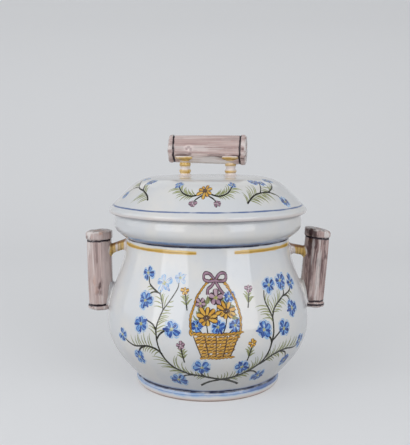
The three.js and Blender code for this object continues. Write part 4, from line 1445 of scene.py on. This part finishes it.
def pot_of(slot, name, thin, full, dark, heart_pale=0.0, grain=1.0, pooled=0.34, outline=None):
    """A slot and its paint as the brush leaves it: thin at the edges, pooled inside them and streaked."""
    made, tree, glaze, shader = glazed_material(name)
    across = kept_measure(tree, "across")
    along = kept_measure(tree, "along")
    pick = kept_measure(tree, "pick")
    aside = math_node(tree, "ABSOLUTE", across)
    hairs = vector_node(tree, times(tree, across, 2.2), times(tree, along, 0.8), pick)
    hairs = cloud(tree, hairs, 1.6, 2.0, times(tree, pick, 40.0))
    blot = cloud(tree, own_place(tree), 330.0, 2.0)
    load = times_plus(tree, hairs, 0.7 * grain, 0.79 - 0.35 * grain - pooled / 2)
    load = plus(tree, load, times(tree, from_half(tree, blot), 0.7 * grain))
    load = plus(tree, load, times(tree, fade(tree, aside, 0.40, 0.80), pooled))
    if heart_pale:
        load = plus(tree, load, times(tree, minus(tree, along, 0.55), heart_pale))
    load = times(tree, load, kept_measure(tree, "wash"), fade(tree, aside, 1.06, 0.86))
    ramp = node(tree, "ShaderNodeValToRGB", {"Fac": load})
    stops = ramp.color_ramp.elements
    stops[0].position, stops[0].color = 0.16, srgb(*thin)
    stops[1].position, stops[1].color = 0.95, srgb(*dark)
    stops.new(0.55).color = srgb(*full)
    shown = ramp.outputs["Color"]
    if outline:
        line = times_plus(tree, from_half(tree, blot), 0.35, aside)
        shown = colour_mix(tree, fade(tree, line, 0.52, 0.68), shown, srgb(*outline))
    colour = colour_mix(tree, fade(tree, load, 0.03, 0.24), glaze["Colour"], shown)
    tree.links.new(colour, shader["Base Color"])
    return slot, made


STEM_PAINT = pot_of("olive_paint", "olive stem paint", (120, 120, 100), (42, 42, 28), (20, 20, 14),
                    grain=0.6)
SAGE_PAINT = pot_of("sage_paint", "sage frond paint", (180, 184, 142), (142, 148, 98), (98, 106, 62))
COBALT_PAINT = pot_of("cobalt_paint", "cobalt petal paint", (146, 188, 226), (74, 126, 200), (24, 52, 132),
                      heart_pale=0.55, grain=1.5, pooled=0.56)
INDIGO_PAINT = pot_of("cobalt_paint", "deep cobalt stroke paint", (84, 126, 196), (44, 76, 156),
                      (22, 38, 98), heart_pale=0.3, grain=1.2)
HEART_PAINT = pot_of("ochre_paint", "yellow-green heart paint", (206, 208, 168), (176, 176, 96),
                     (122, 124, 70))

LEFT_STEMS = [
    ([(19.9, 18.7), (16.9, 21.5), (12.5, 24.5), (7.6, 26.3), (1.5, 28.7), (-5, 31.2), (-9.4, 32),
      (-13.8, 34.7), (-18.2, 38), (-21.4, 42.6), (-24.2, 49.2), (-25.8, 55.2), (-26.9, 61.8), (-27.5, 68),
      (-27.7, 71.8), (-26.9, 79), (-24.7, 89)], 0.80, 0.46),
    ([(-24.7, 89), (-25.8, 94.3), (-27.8, 101), (-28.4, 106)], 0.44, 0.32),
    ([(-24.7, 89), (-22.5, 94.3), (-19.8, 101), (-17.6, 107.6), (-17.3, 113)], 0.42, 0.32),
    ([(-28.2, 101.6), (-33.5, 105.6), (-36.7, 109), (-38.4, 114.5)], 0.46, 0.44),
    ([(-28.0, 101.8), (-31, 102.6), (-34, 101.8), (-35.6, 99)], 0.40, 0.34),
    ([(-27.9, 72.0), (-30, 76), (-33.6, 78.4)], 0.56, 0.40),
    ([(-26.9, 64.0), (-25.3, 68.5), (-22.6, 72)], 0.56, 0.62),
    ([(-24.4, 50.4), (-26.9, 53.9), (-31.3, 55.9), (-35.7, 55.4), (-41.1, 53.6), (-45.5, 54.6),
      (-49.6, 57.6)], 0.70, 0.42),
    ([(-34.6, 55.4), (-37.8, 52.6), (-39.4, 48.6)], 0.64, 0.56),
    ([(-8.6, 31.9), (-12.7, 30.7), (-15.4, 28)], 0.56, 0.48),
    ([(-1.6, 29.7), (-3.6, 32.6), (-4, 35.6)], 0.60, 0.56),
]
RIGHT_STEMS = [
    ([(-4.5, 18.8), (0.5, 23.5), (7.6, 26.3), (13.6, 27.8), (19, 30.7), (24, 34.4), (27.8, 38.7), (30, 41.4),
      (32.2, 46.6), (33.8, 52.6), (34.9, 59.9), (36, 65.8), (36.3, 72.5), (36.3, 80.4)], 0.80, 0.56),
    ([(36.3, 80.0), (34.9, 87), (33.3, 93), (33, 98.3), (33.8, 103.5)], 0.54, 0.44),
    ([(36.3, 80.0), (37.1, 83.7), (38.7, 87.7), (41.4, 91), (45.3, 94.3), (48, 96.6), (49.2, 99),
      (49.4, 104)], 0.56, 0.48),
    ([(46.6, 95.6), (52.9, 97.6), (56.2, 99.6), (57.8, 103)], 0.50, 0.42),
    ([(47.6, 96), (51.3, 95.3), (53, 90.6)], 0.46, 0.44),
    ([(34.9, 58.6), (33.9, 63), (31.6, 67.4)], 0.66, 0.60),
    ([(35.1, 60.4), (38.2, 64), (40.4, 66.8)], 0.58, 0.50),
    ([(29, 39.6), (32.7, 42.7), (36.5, 46.3), (40.9, 48.3), (46.4, 49), (51.8, 47.6), (56.2, 47.3),
      (59.8, 49.8)], 0.72, 0.42),
    ([(41.4, 48.4), (45.8, 46.4), (47.8, 43.2), (48.8, 39)], 0.56, 0.50),
    ([(15.8, 29), (17.2, 31.6), (18, 35.4)], 0.60, 0.52),
    ([(22, 32.8), (26, 33), (29.8, 29.6)], 0.58, 0.46),
]
LEFT_FRONDS = [
    ([(-29.5, 55.6), (-34, 55.8), (-38.4, 54.6), (-41, 53.6)], -1, 64, (11.0, 10.0)),
    ([(-26, 52.8), (-29.6, 55.2), (-34.2, 55.8)], 1, 46, (6.0, 8.0)),
    ([(-27.2, 66), (-27.8, 71)], 1, 34, (12.0, 9.0)),
    ([(-27.9, 69), (-27.2, 78), (-25.8, 85)], -1, 44, (12.0, 8.0)),
    ([(-10, 32.4), (-14.4, 35.4), (-17.6, 38)], -1, 44, (10.0, 15.0)),
    ([(-12, 33.4), (-18.2, 38.2), (-22, 44.6)], 1, 22, (11.0, 14.0)),
    ([(-25.2, 90.4), (-27, 97)], 1, 40, (9.0, 6.0)),
    ([(-24.6, 89), (-22.2, 95.6)], 1, -62, (8.0, 6.0)),
    ([(-24.2, 91.5), (-26.8, 98.4)], -1, 26, (9.0, 8.0)),
    ([(-30.5, 103.6), (-34.6, 106.8)], 1, 34, (7.0, 6.0)),
    ([(0.5, 29.2), (-3.4, 30.8), (-8, 31.9)], -1, 52, (7.5, 6.5)),
    ([(-1, 30), (-6, 31.5)], 1, 40, (6.5, 5.5)),
]
RIGHT_FRONDS = [
    ([(5.6, 25.6), (10.6, 27.2), (14, 28.1)], 1, 62, (7.0, 9.0)),
    ([(9, 26.4), (15, 28.2), (20.6, 31.4)], -1, 30, (8.0, 9.0)),
    ([(18.4, 30.4), (24.6, 35), (28, 39)], 1, 36, (8.0, 13.0)),
    ([(21, 32.2), (25, 35.4)], 1, 62, (8.0, 10.0)),
    ([(32.5, 42.6), (37, 46.4), (41.4, 48.2)], -1, 44, (7.0, 9.0)),
    ([(32.4, 42.6), (37.2, 46.9), (42.4, 48.9)], 1, 38, (8.0, 11.0)),
    ([(43.6, 49.2), (50, 48.4), (56.4, 47.6)], 1, 48, (9.0, 11.0)),
    ([(36.4, 79), (35.4, 85), (34.0, 90)], 1, 50, (9.0, 13.0)),
    ([(36.4, 76), (36.3, 81)], 1, 30, (10.0, 8.0)),
    ([(36.9, 82.5), (39.6, 88.8), (44.2, 93.4)], 1, 34, (9.0, 11.0)),
    ([(37.6, 84.5), (41, 90.2), (45.6, 94)], -1, 46, (7.0, 6.5)),
    ([(34.4, 88.6), (33.2, 94.2)], -1, 34, (9.0, 7.0)),
    ([(50.6, 96.6), (55, 98.4)], -1, 42, (6.0, 5.0)),
]
LEFT_FLOWERS = [
    (-26.6, 110.8, 16.5, 0.30), (-16.8, 116.0, 11.5, 0.25), (-39.6, 117.4, 13.5, 1.0),
    (-37.2, 94.6, 14.5, 0.82), (-37.4, 74.6, 15.5, 0.84), (-18.9, 73.6, 15.5, 0.82),
    (-51.9, 60.4, 13.0, 0.92), (-40.2, 43.6, 13.0, 0.80), (-18.2, 24.6, 15.0, 1.0), (-3.4, 40.0, 14.5, 0.86),
]
RIGHT_FLOWERS = [
    (38.4, 107.2, 14.0, 0.92), (48.8, 109.0, 15.5, 1.0), (59.2, 104.9, 14.0, 0.94), (53.3, 84.0, 16.0, 0.98),
    (30.0, 71.2, 15.5, 1.0), (43.7, 68.6, 15.5, 1.0), (60.9, 50.6, 13.5, 1.25), (49.6, 36.4, 12.0, 1.2),
    (18.6, 39.2, 14.0, 0.98), (32.2, 25.6, 14.5, 0.96),
]
BACK_TURN = 180.0


def stem_lines(stems, turned=0.0, spot=flat_spot, heavy=1.2):
    return [([spot(turn + turned, height) for turn, height in spots],
             {"breadth": (thick * heavy * MM, thin * heavy * MM), "wash": 1.0, "pick": 0.5})
            for spots, thick, thin in stems]


def frond_lines(fronds, turned=0.0, spot=flat_spot, breadth=0.54):
    """Fronds as drawn, with a drier brush higher up."""
    return [([spot(turn + turned, height) for turn, height in spots],
             {"lean": side * math.radians(lean), "bend": side * 0.26, "pick": 0.3, "breadth": breadth * MM,
              "reach": (reach[0] * 1.15 * MM, reach[1] * 1.15 * MM),
              "wash": (0.95, 0.8) if spots[0][1] < 62 else (0.8, 0.62)})
            for spots, side, lean, reach in fronds]


def flower(place, width, turn, petals, fat, stretch=1.0, wash=1.0):
    return [place], {"size": width / 2 * MM, "wash": wash, "turn": turn, "petals": petals, "fat": fat,
                     "stretch": stretch}


def flower_points(flowers, turned=0.0, spot=flat_spot, petals=(5, 5, 4, 6), fat=0.42, stretch=1.0):
    return [flower(spot(turn + turned, height), width, 1.3 * number + 0.4, petals[number % len(petals)], fat,
                   stretch, wash) for number, (turn, height, width, wash) in enumerate(flowers)]


def both_faces(draw, *drawings, **how):
    """The same drawings on the front and, turned half round, on the back."""
    return [made for turned in (0.0, BACK_TURN) for drawn in drawings for made in draw(drawn, turned, **how)]


def changed(points, share, **own):
    """The same flowers again with other measures, share being their size against the first ones."""
    return [([place.copy() for place in places], {**first, "size": first["size"] * share, **own})
            for places, first in points]


def paint_flowers(name, flowers, sheet=BELLY_SHEET):
    """Cobalt flowers in four layers: a pale halo, the petals, darker strokes on them, and a heart."""
    streaks = changed(flowers, 0.98, fat=0.17)
    for _, own in streaks:
        own["turn"] += 0.22
        own["wash"] *= 1.15 if own["wash"] > 0.5 else 0.8
    halos = changed(flowers, 1.14, fat=0.62)
    for _, own in halos:
        own["wash"] *= 0.21
    hearts = changed(flowers, 0.24, fat=0.42, petals=4, wash=0.8)
    paint(name + "_halos", BLOSSOMS, halos, COBALT_PAINT, 0.06, seed=5, sheet=sheet)
    paint(name + "_petals", BLOSSOMS, flowers, COBALT_PAINT, 0.09, seed=5, sheet=sheet)
    paint(name + "_streaks", BLOSSOMS, streaks, INDIGO_PAINT, 0.12, seed=6, sheet=sheet)
    paint(name + "_hearts", BLOSSOMS, hearts, HEART_PAINT, 0.14, seed=9, sheet=sheet)


garland_fronds = both_faces(frond_lines, LEFT_FRONDS, RIGHT_FRONDS)
garland_stems = both_faces(stem_lines, LEFT_STEMS, RIGHT_STEMS)
paint("garland_fronds", STROKES_ALONG, garland_fronds, SAGE_PAINT, 0.05, 2.6, 3)
paint("garland_stems", BRUSH_LINES, garland_stems, STEM_PAINT, 0.08, 1.4)
paint_flowers("garland", both_faces(flower_points, LEFT_FLOWERS, RIGHT_FLOWERS))


# The flower basket: the main figure of the front, a woven basket with an arched handle, a ribbon and
# a bouquet, between the two branches. Ochre with umber outlines, manganese mauve, cobalt and sage.

BASKET_TURN = 4.0
BASKET_BASE = 51.0
BASKET_RIM = 69.0
BASE_HALF = 12.5
RIM_HALF = 19.5
WEAVE_ROWS = 6
GROUND_ROWS = 8
OCHRE_PAINT = pot_of("ochre_paint", "outlined ochre paint", (224, 190, 108), (212, 162, 60), (180, 118, 42),
                     grain=0.8, outline=(66, 46, 34))
OCHRE_WASH = pot_of("ochre_paint", "ochre wash", (230, 208, 152), (220, 184, 106), (200, 146, 66))
MAUVE_PAINT = pot_of("mauve_paint", "outlined mauve paint", (210, 190, 198), (166, 134, 152), (112, 80, 100),
                     outline=(58, 40, 46))
UMBER_PAINT = pot_of("mauve_paint", "umber line paint", (140, 116, 98), (84, 60, 44), (48, 33, 26),
                     grain=0.6)
ARCH = [(-20.5, 69), (-21.5, 84), (-17, 100), (-8.5, 111.5), (0, 114.5), (8.5, 111.5), (17, 100), (21.3, 84),
        (21.0, 74.5)]
RIBBON = [[(0, 114.6), (-5.2, 120), (-10.6, 120.2), (-11, 115.6), (-6, 114), (0, 114.6)],
          [(0, 114.6), (5.2, 120.2), (10.6, 120), (10.8, 115.4), (6, 113.8), (0, 114.6)],
          [(0, 114.4), (-3.6, 110), (-7, 107.6), (-7.4, 103)],
          [(0, 114.4), (3.2, 109.6), (5.2, 106.4), (8.4, 103.4)]]
LEAF_DOME = [(-15, 71), (-14.4, 82), (-8.5, 94), (0, 99), (8.5, 95.5), (14, 84), (15, 71)]
BOUQUET_STEMS = [[(-7, 71), (-8, 78), (-7.5, 84)], [(2, 71), (1, 82), (1.5, 96)],
                 [(6, 71), (9, 80), (9.5, 88)], [(-12, 71), (-15, 76), (-16, 82)],
                 [(11, 71), (15, 75), (16.5, 80)]]


def basket_spot(aside, height):
    """A spot of the drawing, from mm beside the basket's middle and mm of height."""
    return Vector((math.radians(BASKET_TURN) * BELLY_RADIUS + aside, height, 0)) * MM


def strokes(spots, lean, bend, reach, breadth):
    """A row of short strokes, along (aside, height) spots of the basket."""
    return ([basket_spot(*spot) for spot in spots],
            {"lean": math.radians(lean), "bend": bend, "reach": reach * MM, "breadth": breadth * MM,
             "wash": 1.0, "pick": 0.4})


def basket_lines(rows, thick, thin):
    return stem_lines([(row, thick, thin) for row in rows], spot=basket_spot, heavy=1.0)


def basket_flowers(flowers, petals, fat):
    return [flower(basket_spot(aside, height), width, 0.9 * number + 0.2, petals, fat)
            for number, (aside, height, width) in enumerate(flowers)]


weave = []
for row in range(WEAVE_ROWS):
    share = (row + 0.5) / WEAVE_ROWS
    half = BASE_HALF + (RIM_HALF - BASE_HALF) * share
    start = -half + (2.1 if row % 2 else 0.0)
    high = BASKET_BASE + (BASKET_RIM - BASKET_BASE) * share
    spots = [(start, high), ((start + half) / 2, high - 0.5), (half - 3.6, high)]
    weave.append(strokes(spots, 3, 0.05, 5.4, 1.75))
ground = []
for row in range(GROUND_ROWS):
    share = row / (GROUND_ROWS - 1)
    half = BASE_HALF + (RIM_HALF - BASE_HALF) * share
    high = BASKET_BASE + (BASKET_RIM - BASKET_BASE) * share
    ground.append([(-half, high), (half, high)])
stakes = [[(BASE_HALF * share, BASKET_BASE - 0.5), (RIM_HALF * share, BASKET_RIM)]
          for share in (-1.0, -0.5, 0.0, 0.5, 1.0)]
rim_rope = [(-RIM_HALF - 1.2, BASKET_RIM + 1.2), (0, BASKET_RIM + 0.4),
            (RIM_HALF - 0.6, BASKET_RIM + 1.2)]
base_rope = [(-BASE_HALF - 1.5, BASKET_BASE - 1.8), (0, BASKET_BASE - 2.4),
             (BASE_HALF - 0.8, BASKET_BASE - 1.8)]
ropes = [strokes(rim_rope, 32, -0.4, 5.4, 1.35), strokes(base_rope, 32, -0.4, 4.8, 1.25),
         strokes(ARCH, 26, -0.5, 5.6, 1.20)]
leaves = [strokes(LEAF_DOME, 74, -0.3, 7.6, 1.0), strokes(LEAF_DOME[1:-1], 40, 0.3, 6.8, 0.9)]
daisies = basket_flowers([(-8.2, 84.5, 19.0), (9.6, 89.5, 17.5)], 9, 0.29)
violets = basket_flowers([(0.4, 100.5, 14.5), (-14.2, 96, 10)], 5, 0.48)
daisy_hearts = changed(daisies, 0.32, petals=6, fat=0.50)
violet_hearts = changed(violets, 0.26, petals=4, fat=0.50)
bluets = basket_flowers([(1.6, 76.8, 12.5), (-17, 77.6, 11), (17, 77.6, 11.5), (13, 101.5, 9.5)], 5, 0.48)
paint("basket_ground", BRUSH_LINES, basket_lines(ground, 1.5, 1.5), OCHRE_WASH, 0.05, 1.6)
paint("basket_weave", STROKES_ALONG, weave, OCHRE_PAINT, 0.08, 4.2, 12)
paint("basket_stakes", BRUSH_LINES, basket_lines(stakes, 0.34, 0.34), UMBER_PAINT, 0.10, 1.4)
paint("basket_ropes", STROKES_ALONG, ropes, OCHRE_PAINT, 0.12, 2.9, 14)
paint("basket_ribbon", BRUSH_LINES, basket_lines(RIBBON, 1.25, 1.25), MAUVE_PAINT, 0.16, 1.2)
paint("bouquet_leaves", STROKES_ALONG, leaves, SAGE_PAINT, 0.06, 3.2, 21)
paint("bouquet_stems", BRUSH_LINES, basket_lines(BOUQUET_STEMS, 0.42, 0.34), STEM_PAINT, 0.08, 1.4)
paint("bouquet_daisies", BLOSSOMS, daisies, OCHRE_PAINT, 0.13, seed=31)
paint("bouquet_violets", BLOSSOMS, violets, MAUVE_PAINT, 0.13, seed=32)
paint("bouquet_daisy_hearts", BLOSSOMS, daisy_hearts, UMBER_PAINT, 0.17, seed=33)
paint("bouquet_violet_hearts", BLOSSOMS, violet_hearts, HEART_PAINT, 0.17, seed=34)
paint_flowers("bouquet", bluets)


# The scattered sprigs: small budding twigs set in the gaps beside the basket, so that the white
# ground is evenly filled. Olive stems, sage leaves, and ochre or mauve buds.

SPRIGS = [(-12.2, 98, -6, "ochre"), (23.0, 99, 7, "mauve"), (-13.2, 52.5, -5, "mauve"),
          (22.0, 53, 7, "ochre")]

sprig_stems, sprig_leaves, sprig_buds = [], [], {"ochre": [], "mauve": []}
for turn, height, tilt, colour in SPRIGS:
    tip = (turn + tilt / 10, height + 5)
    sprig_stems.append(([(turn - tilt / 6, height - 8), (turn, height), tip], 0.42, 0.44))
    leaf_line = [(turn - tilt / 12, height - 4), (turn, height), (turn + 0.01, height + 1.4)]
    sprig_leaves += [(leaf_line, side, 30, (6.5, 4.5)) for side in (1, -1)]
    sprig_buds[colour].append((tip[0] + tilt / 20, tip[1] + 2.6, 8.4, 1.0))
paint("sprig_leaves", STROKES_ALONG, frond_lines(sprig_leaves, breadth=0.85), SAGE_PAINT, 0.06, 2.6, 41)
paint("sprig_stems", BRUSH_LINES, stem_lines(sprig_stems), STEM_PAINT, 0.08, 1.4)
for colour, pot in (("ochre", OCHRE_PAINT), ("mauve", MAUVE_PAINT)):
    buds = flower_points(sprig_buds[colour], petals=(5, ), fat=0.46)
    paint("sprig_" + colour + "_buds", BLOSSOMS, buds, pot, 0.12, seed=42)


# The lid's sprigs: two curved flowering twigs on each face of the lid, and between them at the front
# a small nosegay round an ochre daisy. Places are degrees round the lid and mm from its axis.

LID_GIRTH = 86.0
LID_RIM = 100.0
LID_SHEET = {"body": "lid", "surface": lid_dome, "from_above": True, "girth": LID_GIRTH * MM,
             "rim": LID_RIM * MM}
LID_STEMS = [
    ([(-40, 82.5), (-42.9, 78.9), (-50.1, 75.1), (-58.5, 73.1), (-65.4, 68.9), (-74, 64)], 0.62, 0.36),
    ([(-51, 74.8), (-55.6, 69.2), (-56.4, 65.6)], 0.50, 0.42),
    ([(-60, 72.6), (-67, 74), (-71, 78)], 0.36, 0.30),
    ([(23.6, 84), (29.8, 78.5), (36.1, 76.2), (44.8, 75.9), (50.9, 78.7), (53, 82.4)], 0.66, 0.40),
    ([(37, 76.1), (40, 72.5), (43.5, 66.6), (42.4, 64)], 0.52, 0.44),
    ([(45, 75.8), (52.6, 72.4), (57.6, 68.1), (58, 64.6)], 0.50, 0.40),
]
LID_FRONDS = [
    ([(-40.5, 81), (-43, 78.6), (-48, 75.8)], 1, 58, (11.0, 14.0)),
    ([(-46, 76.6), (-51, 74.6)], -1, 46, (11.0, 11.0)),
    ([(-52, 73.6), (-55.4, 69.2)], -1, 40, (11.0, 8.0)),
    ([(-62, 71), (-68, 67.4)], 1, 42, (8.0, 7.0)),
    ([(24, 83.4), (28, 79.8), (33, 77)], 1, 50, (9.0, 13.0)),
    ([(26, 81.4), (33, 77.2), (42, 75.9)], -1, 50, (8.5, 11.0)),
    ([(38, 75.4), (42, 70.4)], -1, 56, (11.0, 12.0)),
    ([(47, 75.6), (53, 72)], 1, 40, (8.0, 7.0)),
]
LID_FLOWERS = [(-53.0, 64.0, 10.5, 1.25), (-72, 60.0, 9.5, 1.1), (-72, 80.5, 10.0, 1.15),
               (40.0, 63.0, 10.0, 1.3), (47.0, 65.6, 8.5, 1.3), (60, 62.5, 10.5, 1.2)]
LOWEST_FLOWER = [(54.6, 85.0, 12.0, 1.5)]
NOSEGAY_STEMS = [([(-6, 76), (-11, 77.5), (-17, 75), (-21.5, 69)], 0.50, 0.36),
                 ([(2, 76), (7, 77.5), (13, 75), (17.5, 69)], 0.50, 0.36),
                 ([(-4, 77), (-7, 79.5), (-8.4, 81.5)], 0.40, 0.36),
                 ([(0, 77), (3, 79.5), (4.4, 81.5)], 0.40, 0.36)]
NOSEGAY_FRONDS = [([(-9, 77), (-15, 76), (-20.5, 70.4)], 1, 40, (6.0, 9.0)),
                  ([(-8, 76.9), (-14, 76.3), (-20, 71)], -1, 44, (8.0, 8.0)),
                  ([(5, 77), (11, 76), (16.5, 70.4)], -1, 40, (6.0, 9.0)),
                  ([(4, 76.9), (10, 76.3), (16, 71)], 1, 44, (8.0, 8.0))]


def lid_spot(turn, radius):
    """A spot of the lid's drawing, from degrees round the lid and mm from its axis."""
    return Vector((math.radians(turn) * LID_GIRTH, LID_RIM - radius, 0)) * MM


def twig_flowers(flowers, turned):
    return (flower_points(flowers, turned, lid_spot, stretch=0.85)
            + flower_points(LOWEST_FLOWER, turned, lid_spot, fat=0.36, stretch=0.72))


lid_fronds = both_faces(frond_lines, LID_FRONDS, spot=lid_spot)
lid_fronds += frond_lines(NOSEGAY_FRONDS, spot=lid_spot)
lid_stems = both_faces(stem_lines, LID_STEMS, spot=lid_spot, heavy=0.95)
lid_stems += stem_lines(NOSEGAY_STEMS, spot=lid_spot)
bluets = flower_points([(-22.6, 66.6, 7.0, 0.9), (18.6, 66.6, 7.0, 0.9)], spot=lid_spot, stretch=1.5)
daisy = flower_points([(-2, 73, 14.0, 1.0)], spot=lid_spot, petals=(8, ), fat=0.30, stretch=1.2)
daisy_heart = changed(daisy, 0.32, petals=6, fat=0.50)
buds = flower_points([(-9.2, 83.4, 7.4, 1.0), (5.2, 83.4, 7.4, 1.0)], spot=lid_spot, petals=(5, ), fat=0.46)
paint("lid_fronds", STROKES_ALONG, lid_fronds, SAGE_PAINT, 0.05, 2.1, 51, LID_SHEET)
paint("lid_stems", BRUSH_LINES, lid_stems, STEM_PAINT, 0.08, 1.4, sheet=LID_SHEET)
paint_flowers("lid", both_faces(twig_flowers, LID_FLOWERS) + bluets, LID_SHEET)
paint("lid_daisy", BLOSSOMS, daisy, OCHRE_PAINT, 0.13, seed=61, sheet=LID_SHEET)
paint("lid_daisy_heart", BLOSSOMS, daisy_heart, UMBER_PAINT, 0.17, seed=62, sheet=LID_SHEET)
paint("lid_buds", BLOSSOMS, buds, MAUVE_PAINT, 0.13, seed=63, sheet=LID_SHEET)
